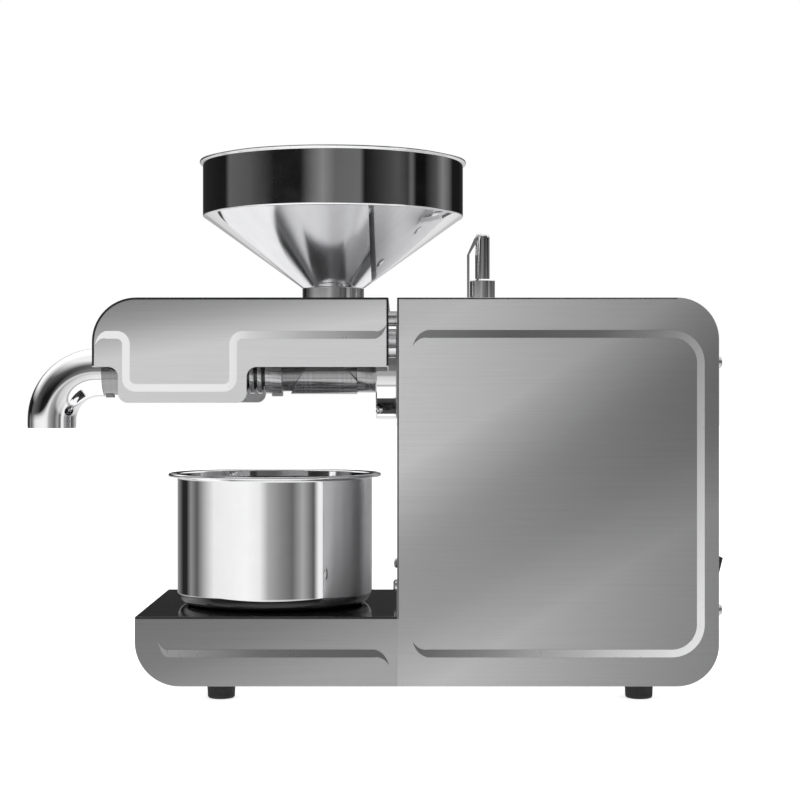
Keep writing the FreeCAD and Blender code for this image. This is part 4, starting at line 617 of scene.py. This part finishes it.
def fold_lines():
    """Dark strips of painted shadow where the front panels meet the wrapped sheet."""
    finish = new_material("fold", grey(0.06), roughness=0.3, metallic=1.0)
    vary_gloss(finish, grains(finish, 300.0), 0.25, 0.4)
    left = HOUSE_LOW.x + FOLD_INSET
    top = HOUSE_HIGH.z - FOLD_INSET
    path = [Vector((left, BASE_HIGH.z)), Vector((left, top)), Vector((HOUSE_HIGH.x - HOUSE_CORNER, top))]
    strip("housing_fold", path, [FOLD_WIDTH * share for share in FOLD_SHARES], finish)
    left = HOOD_LOW.x + FOLD_INSET
    right = HOOD_HIGH.x - FOLD_INSET
    top = HOOD_HIGH.z - FOLD_INSET
    corners = [(left, HOOD_SIDE_LOW), (left, top), (right, top), (right, HOOD_SIDE_LOW)]
    path = rounded_path(corners, [HOOD_CORNER - FOLD_INSET, HOOD_TIGHT])
    strip("hood_fold", path, [FOLD_WIDTH] * len(path), finish)


# Spun hopper and bowl

LATHE_STEPS = 192
SHARP_ANGLE = math.radians(38)


def closed_profile(outline):
    """The (radius, height, round) corners as one closed ring of points; the first has no round."""
    corners = [(radius, height) for radius, height, bend in outline]
    bends = [bend for radius, height, bend in outline[1:]]
    return rounded_path(corners + corners[:1], bends)[:-1]


def lathe(name, profile, middle, finish, body, node):
    """A closed ring of (radius, height) points turned round an upright axis; stands for the node."""
    vertices = []
    for step in range(LATHE_STEPS):
        angle = 2 * math.pi * step / LATHE_STEPS
        for radius, height in profile:
            vertices.append((middle + radius * math.cos(angle), radius * math.sin(angle), height))
    count = len(profile)
    faces = []
    for step in range(LATHE_STEPS):
        near = step * count
        far = (step + 1) % LATHE_STEPS * count
        for index in range(count):
            following = (index + 1) % count
            faces.append((near + index, far + index, far + following, near + following))
    mesh = bpy.data.meshes.new(name)
    mesh.from_pydata(vertices, [], faces)
    mesh.materials.append(finish)
    mesh.shade_smooth()
    mesh.set_sharp_from_angle(angle=SHARP_ANGLE)
    piece = bpy.data.objects.new(name, mesh)
    bpy.context.scene.collection.objects.link(piece)
    flat_walls = piece.modifiers.new("flat walls", "WEIGHTED_NORMAL")
    flat_walls.keep_sharp = True
    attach(piece, body)
    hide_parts(node)


NECK_RADIUS = 20.9 * MM
NECK_ROUND = 1.2 * MM            # outside, where the neck meets the cone
CONE_HEIGHT = 47.6 * MM
CONE_STEP = 1.4 * MM             # the cone starts this far inside the band
BAND_HEIGHT = 38.2 * MM
BAND_ROUND = 1.3 * MM            # lower edge of the band
LIP = 2.1 * MM                   # rolled lip outside the band
LIP_HEIGHT = 2.2 * MM
LIP_ROUND = 1.05 * MM
LIP_ROOT = 0.5 * MM              # where the lip leaves the band
HOPPER_WALL = 1.0 * MM
RIM_ROUND = 0.9 * MM             # inner edge of the rim
CONE_ROUND = 3.0 * MM            # inside, where the band meets the cone
MOUTH_ROUND = 1.5 * MM           # inside, where the cone meets the neck


def spun_hopper(finish):
    """Neck, cone and band, with a rounded lower edge on the band and a rolled lip."""
    outer = (HOPPER_HIGH.x - HOPPER_LOW.x) / 2
    low, rim = HOPPER_LOW.z, HOPPER_HIGH.z
    wall = outer - LIP
    inner = wall - HOPPER_WALL
    bore = NECK_RADIUS - HOPPER_WALL
    cone_top = rim - BAND_HEIGHT
    neck_top = cone_top - CONE_HEIGHT
    outline = [
        (bore, (low + neck_top) / 2, 0),
        (bore, low, 0),
        (NECK_RADIUS, low, 0),
        (NECK_RADIUS, neck_top, NECK_ROUND),
        (wall - CONE_STEP, cone_top, 0),
        (wall, cone_top, BAND_ROUND),
        (wall, rim - LIP_HEIGHT, LIP_ROOT),
        (outer, rim - LIP_HEIGHT, LIP_ROUND),
        (outer, rim, LIP_ROUND),
        (inner, rim, RIM_ROUND),
        (inner, cone_top + HOPPER_WALL, CONE_ROUND),
        (bore, neck_top + HOPPER_WALL / 2, MOUTH_ROUND),
    ]
    middle = (HOPPER_HIGH.x + HOPPER_LOW.x) / 2
    lathe("spun_hopper", closed_profile(outline), middle, finish, "hopper", "feed_hopper")


BOWL_RIM = 6.2 * MM              # flanged rim outside the bowl's wall
BOWL_FLARE = 1.6 * MM            # under the rim, where it leaves the wall
BOWL_BEAD = 2.6 * MM             # height of the bead on the rim
BEAD_ROUND = 1.28 * MM
BOWL_MOUTH = 1.2 * MM            # inside, where the rim slopes down to the wall
BOWL_WALL = 0.9 * MM
BOWL_CORNER = 9.0 * MM
BOWL_MIDDLE = 0.05 * MM          # the bottom closes in a point-like ring


def drawn_bowl(finish):
    """Flat bottom, round corner, straight wall, and a rim that flares into a rolled bead."""
    outer = (BOWL_HIGH.x - BOWL_LOW.x) / 2
    low, high = BOWL_LOW.z, BOWL_HIGH.z
    wall = outer - BOWL_RIM
    inner = wall - BOWL_WALL
    outline = [
        (BOWL_MIDDLE, low + BOWL_WALL / 2, 0),
        (BOWL_MIDDLE, low, 0),
        (wall, low, BOWL_CORNER),
        (wall, high - BOWL_BEAD, BOWL_FLARE),
        (outer, high - BOWL_BEAD, BEAD_ROUND),
        (outer, high, BEAD_ROUND),
        (wall, high - BOWL_WALL, BOWL_MOUTH),
        (inner, high - 2 * BOWL_BEAD, BOWL_MOUTH),
        (inner, low + BOWL_WALL, BOWL_CORNER - BOWL_WALL),
        (BOWL_MIDDLE, low + BOWL_WALL, 0),
    ]
    middle = (BOWL_HIGH.x + BOWL_LOW.x) / 2
    lathe("drawn_bowl", closed_profile(outline), middle, finish, "bowl", "oil_bowl")


# Softened edges of the folded sheet

WELD_REACH = 0.01 * MM
SOFT_ANGLE = math.radians(50)    # sharper edges get a round
SHEET_ROUND = 0.5 * MM
FOOT_ROUND = 1.5 * MM
RIB_ROUND = 0.9 * MM
EDGE_STEPS = 3
SHEETS = ("housing_front_panel", "housing_rear_panel", "hood_front_panel", "hood_rear_panel",
          "base_front_panel", "base_rear_panel", "end_plate", "tray_plate")


def soften(name, size):
    """A round of the given size on every sharp edge of a node."""
    node = NODES[name]
    weld = node.modifiers.new("weld", "WELD")
    weld.merge_threshold = WELD_REACH
    bevel = node.modifiers.new("edge round", "BEVEL")
    bevel.width = size
    bevel.segments = EDGE_STEPS
    bevel.limit_method = "ANGLE"
    bevel.angle_limit = SOFT_ANGLE
    bevel.harden_normals = True


def soften_edges():
    """Rounds on the sheets, the feet and the barrel's ribs."""
    for name in SHEETS:
        soften(name, SHEET_ROUND)
    soften("feet", FOOT_ROUND)
    soften("press_barrel", RIB_ROUND)


# Camera

PICTURE_SCALE = 0.68 * MM        # metres on the middle plane for one pixel of the photograph
PICTURE_WIDTH = 800              # pixels
CAMERA_DISTANCE = 1.216
CAMERA_OFFSET = 1.9 * MM         # camera right of the housing's left face
CAMERA_HEIGHT = 191.8 * MM
SENSOR = 36.0                    # sensor width in millimetres, as the camera takes it
FAR_CLIP = 50.0


def camera():
    """A level camera that looks straight at the front."""
    data = bpy.data.cameras.new("camera")
    data.sensor_width = SENSOR
    data.lens = SENSOR * CAMERA_DISTANCE / (PICTURE_WIDTH * PICTURE_SCALE)
    data.clip_end = FAR_CLIP
    viewer = bpy.data.objects.new("camera", data)
    viewer.location = (HOUSE_LOW.x + CAMERA_OFFSET, -CAMERA_DISTANCE, CAMERA_HEIGHT)
    viewer.rotation_euler = (math.pi / 2, 0.0, 0.0)
    bpy.context.scene.collection.objects.link(viewer)
    bpy.context.scene.camera = viewer


# Studio as metal mirrors it

# Cards below and above the horizon: (degrees round from the front, brightness)
LOW_CARDS = [
    (-180, 0.60), (-150, 0.20), (-134, 0.02), (-122, 0.02), (-112, 0.28), (-100, 0.10), (-92, 0.30),
    (-72, 0.90), (-30, 1.00), (-14, 0.90), (-4, 0.42), (10, 0.26), (24, 0.14), (36, 0.42), (50, 0.08),
    (56, 0.95), (66, 0.90), (70, 0.30), (88, 0.45), (104, 0.18), (118, 0.06), (132, 0.20), (150, 0.45),
    (180, 0.60),
]
HIGH_CARDS = [
    (-180, 0.05), (-150, 0.02), (-112, 0.01), (-106, 0.01), (-100, 0.12), (-76, 0.09), (-56, 0.03),
    (-50, 0.01), (-26, 0.01), (-7, 0.24), (4, 0.13), (25, 0.15), (29, 0.01), (36, 0.02), (60, 0.08),
    (70, 0.04), (74, 0.14), (79, 0.005), (89, 0.005), (104, 0.08), (114, 0.22), (124, 0.12), (132, 0.01),
    (150, 0.01), (180, 0.05),
]
# Where the high cards take over: (degrees above the horizon, share)
HIGH_CARD_RISE = [(0.5, 0.0), (4.5, 1.0)]
# Studio from below to above: (degrees above the horizon, brightness, share of the cards there)
HEIGHT_STEPS = [
    (-90, 1.15, 0.0), (-38, 1.15, 0.0), (-34, 0.35, 0.2), (-30, 1.00, 0.2), (-12, 1.00, 0.5),
    (-8, 0.85, 1.0), (3, 0.70, 1.0), (8, 0.20, 1.0), (14, 0.04, 1.0), (20, 0.06, 0.6), (34, 0.12, 0.2),
    (48, 0.60, 0.0), (58, 0.95, 0.0), (84, 0.95, 0.0), (88, 0.30, 0.0), (90, 1.00, 0.0),
]
# White backdrop behind the object: (degrees round from the front, share), (degrees up, share)
BACKDROP_SHARES = [(-180, 1.0), (-120, 1.0), (-80, 0.0), (80, 0.0), (120, 1.0), (180, 1.0)]
BACKDROP_RISE = [(12, 0.0), (22, 1.0)]
BACKDROP = (1.15, 1.15, 1.15, 1.0)
AMBIENT = (0.88, 0.88, 0.88, 1.0)
WHITE = (1.0, 1.0, 1.0, 1.0)


def set_or_link(tree, socket, value):
    """Feed a socket with plain numbers or with another socket."""
    if isinstance(value, (int, float, tuple)):
        socket.default_value = value
    else:
        tree.links.new(value, socket)


def calculate(tree, operation, *values):
    """The result of a sum on numbers or sockets."""
    node = tree.nodes.new("ShaderNodeMath")
    node.operation = operation
    for socket, value in zip(node.inputs, values):
        set_or_link(tree, socket, value)
    return node.outputs["Value"]


def blend(tree, share, first, second):
    """The first colour, with the second mixed in by its share."""
    node = tree.nodes.new("ShaderNodeMix")
    node.data_type = "RGBA"
    for name, value in (("Factor", share), ("A", first), ("B", second)):
        set_or_link(tree, node.inputs[name], value)
    return node.outputs["Result"]


def turn_ramp(tree, turn, stops):
    """A ramp through stops that are given in degrees round from the front."""
    return ramp(tree, turn, [((angle + 180) / 360, value) for angle, value in stops])


def height_ramp(tree, height, stops):
    """A ramp through stops that are given in degrees above the horizon."""
    return ramp(tree, height, [((angle + 90) / 180, value) for angle, value in stops])


def mirrored_studio(tree):
    """Cards, floor and backdrop, by the direction in which a ray leaves."""
    coordinates = tree.nodes.new("ShaderNodeTexCoord")
    axes = tree.nodes.new("ShaderNodeSeparateXYZ")
    tree.links.new(coordinates.outputs["Generated"], axes.inputs["Vector"])
    towards_front = calculate(tree, "MULTIPLY", axes.outputs["Y"], -1.0)
    angle_round = calculate(tree, "ARCTAN2", axes.outputs["X"], towards_front)
    angle_up = calculate(tree, "ARCSINE", axes.outputs["Z"])
    turn = calculate(tree, "MULTIPLY_ADD", angle_round, 0.5 / math.pi, 0.5)
    height = calculate(tree, "MULTIPLY_ADD", angle_up, 1 / math.pi, 0.5)
    cards = blend(tree, height_ramp(tree, height, HIGH_CARD_RISE), turn_ramp(tree, turn, LOW_CARDS),
                  turn_ramp(tree, turn, HIGH_CARDS))
    level = height_ramp(tree, height, [(angle, value) for angle, value, share in HEIGHT_STEPS])
    card_share = height_ramp(tree, height, [(angle, share) for angle, value, share in HEIGHT_STEPS])
    behind = turn_ramp(tree, turn, BACKDROP_SHARES)
    raised = height_ramp(tree, height, BACKDROP_RISE)
    backdrop_share = calculate(tree, "MULTIPLY", behind, raised)
    return blend(tree, backdrop_share, blend(tree, card_share, level, cards), BACKDROP)


def studio():
    """White to the camera, plain light on dull surfaces, studio cards in metal reflections."""
    world = bpy.data.worlds.new("studio")
    bpy.context.scene.world = world
    world.use_nodes = True
    world.cycles.sampling_method = "NONE"
    tree = world.node_tree
    rays = tree.nodes.new("ShaderNodeLightPath")
    lit = blend(tree, rays.outputs["Is Glossy Ray"], AMBIENT, mirrored_studio(tree))
    colour = blend(tree, rays.outputs["Is Camera Ray"], lit, WHITE)
    tree.links.new(colour, tree.nodes["Background"].inputs["Color"])


FLOOR_REACH = 12.0
FLOOR_TONE = (0.85, 0.85, 0.85)
FLOOR_GLOW = 0.6                 # brings the lit floor up to white for the camera


def floor_material():
    """Pale and dull with a glow for the camera alone; clear to reflections."""
    material = new_material("floor", FLOOR_TONE, roughness=0.9)
    shader = shader_of(material)
    shader.inputs["Specular IOR Level"].default_value = 0.0
    tree = material.node_tree
    rays = tree.nodes.new("ShaderNodeLightPath")
    glow = tree.nodes.new("ShaderNodeEmission")
    tree.links.new(calculate(tree, "MULTIPLY", rays.outputs["Is Camera Ray"], FLOOR_GLOW),
                   glow.inputs["Strength"])
    both = tree.nodes.new("ShaderNodeAddShader")
    tree.links.new(shader.outputs["BSDF"], both.inputs[0])
    tree.links.new(glow.outputs["Emission"], both.inputs[1])
    clear = tree.nodes.new("ShaderNodeBsdfTransparent")
    choice = tree.nodes.new("ShaderNodeMixShader")
    tree.links.new(rays.outputs["Is Glossy Ray"], choice.inputs["Fac"])
    tree.links.new(both.outputs["Shader"], choice.inputs[1])
    tree.links.new(clear.outputs["BSDF"], choice.inputs[2])
    tree.links.new(choice.outputs["Shader"], tree.nodes["Material Output"].inputs["Surface"])
    return material


def floor():
    """A plain pale floor that keeps the object's shadow; metal sees the studio in its place."""
    mesh = bpy.data.meshes.new("floor")
    corners = [(-1, -1), (1, -1), (1, 1), (-1, 1)]
    mesh.from_pydata([(x * FLOOR_REACH, y * FLOOR_REACH, 0) for x, y in corners], [], [(0, 1, 2, 3)])
    plane = bpy.data.objects.new("floor", mesh)
    bpy.context.scene.collection.objects.link(plane)
    mesh.materials.append(floor_material())


LAMP_SIZE = 1.6
LAMP_PLACE = (-0.4, -0.6, 1.9)
LAMP_POWER = 12.0                # watts


def overhead_lamp():
    """A large soft lamp above the left front, which metal doesn't mirror."""
    data = bpy.data.lights.new("overhead", "AREA")
    data.size = LAMP_SIZE
    data.energy = LAMP_POWER
    lamp = bpy.data.objects.new("overhead", data)
    lamp.location = LAMP_PLACE
    lamp.rotation_euler = (-Vector(LAMP_PLACE)).to_track_quat("-Z", "Y").to_euler()
    lamp.visible_glossy = False
    bpy.context.scene.collection.objects.link(lamp)


finishes = dress_nodes()
panels()
soften_edges()
bands()
fold_lines()
spun_hopper(spun_steel())
drawn_bowl(finishes["polished_steel"])
camera()
studio()
floor()
overhead_lamp()
bpy.context.scene.view_settings.view_transform = "Standard"
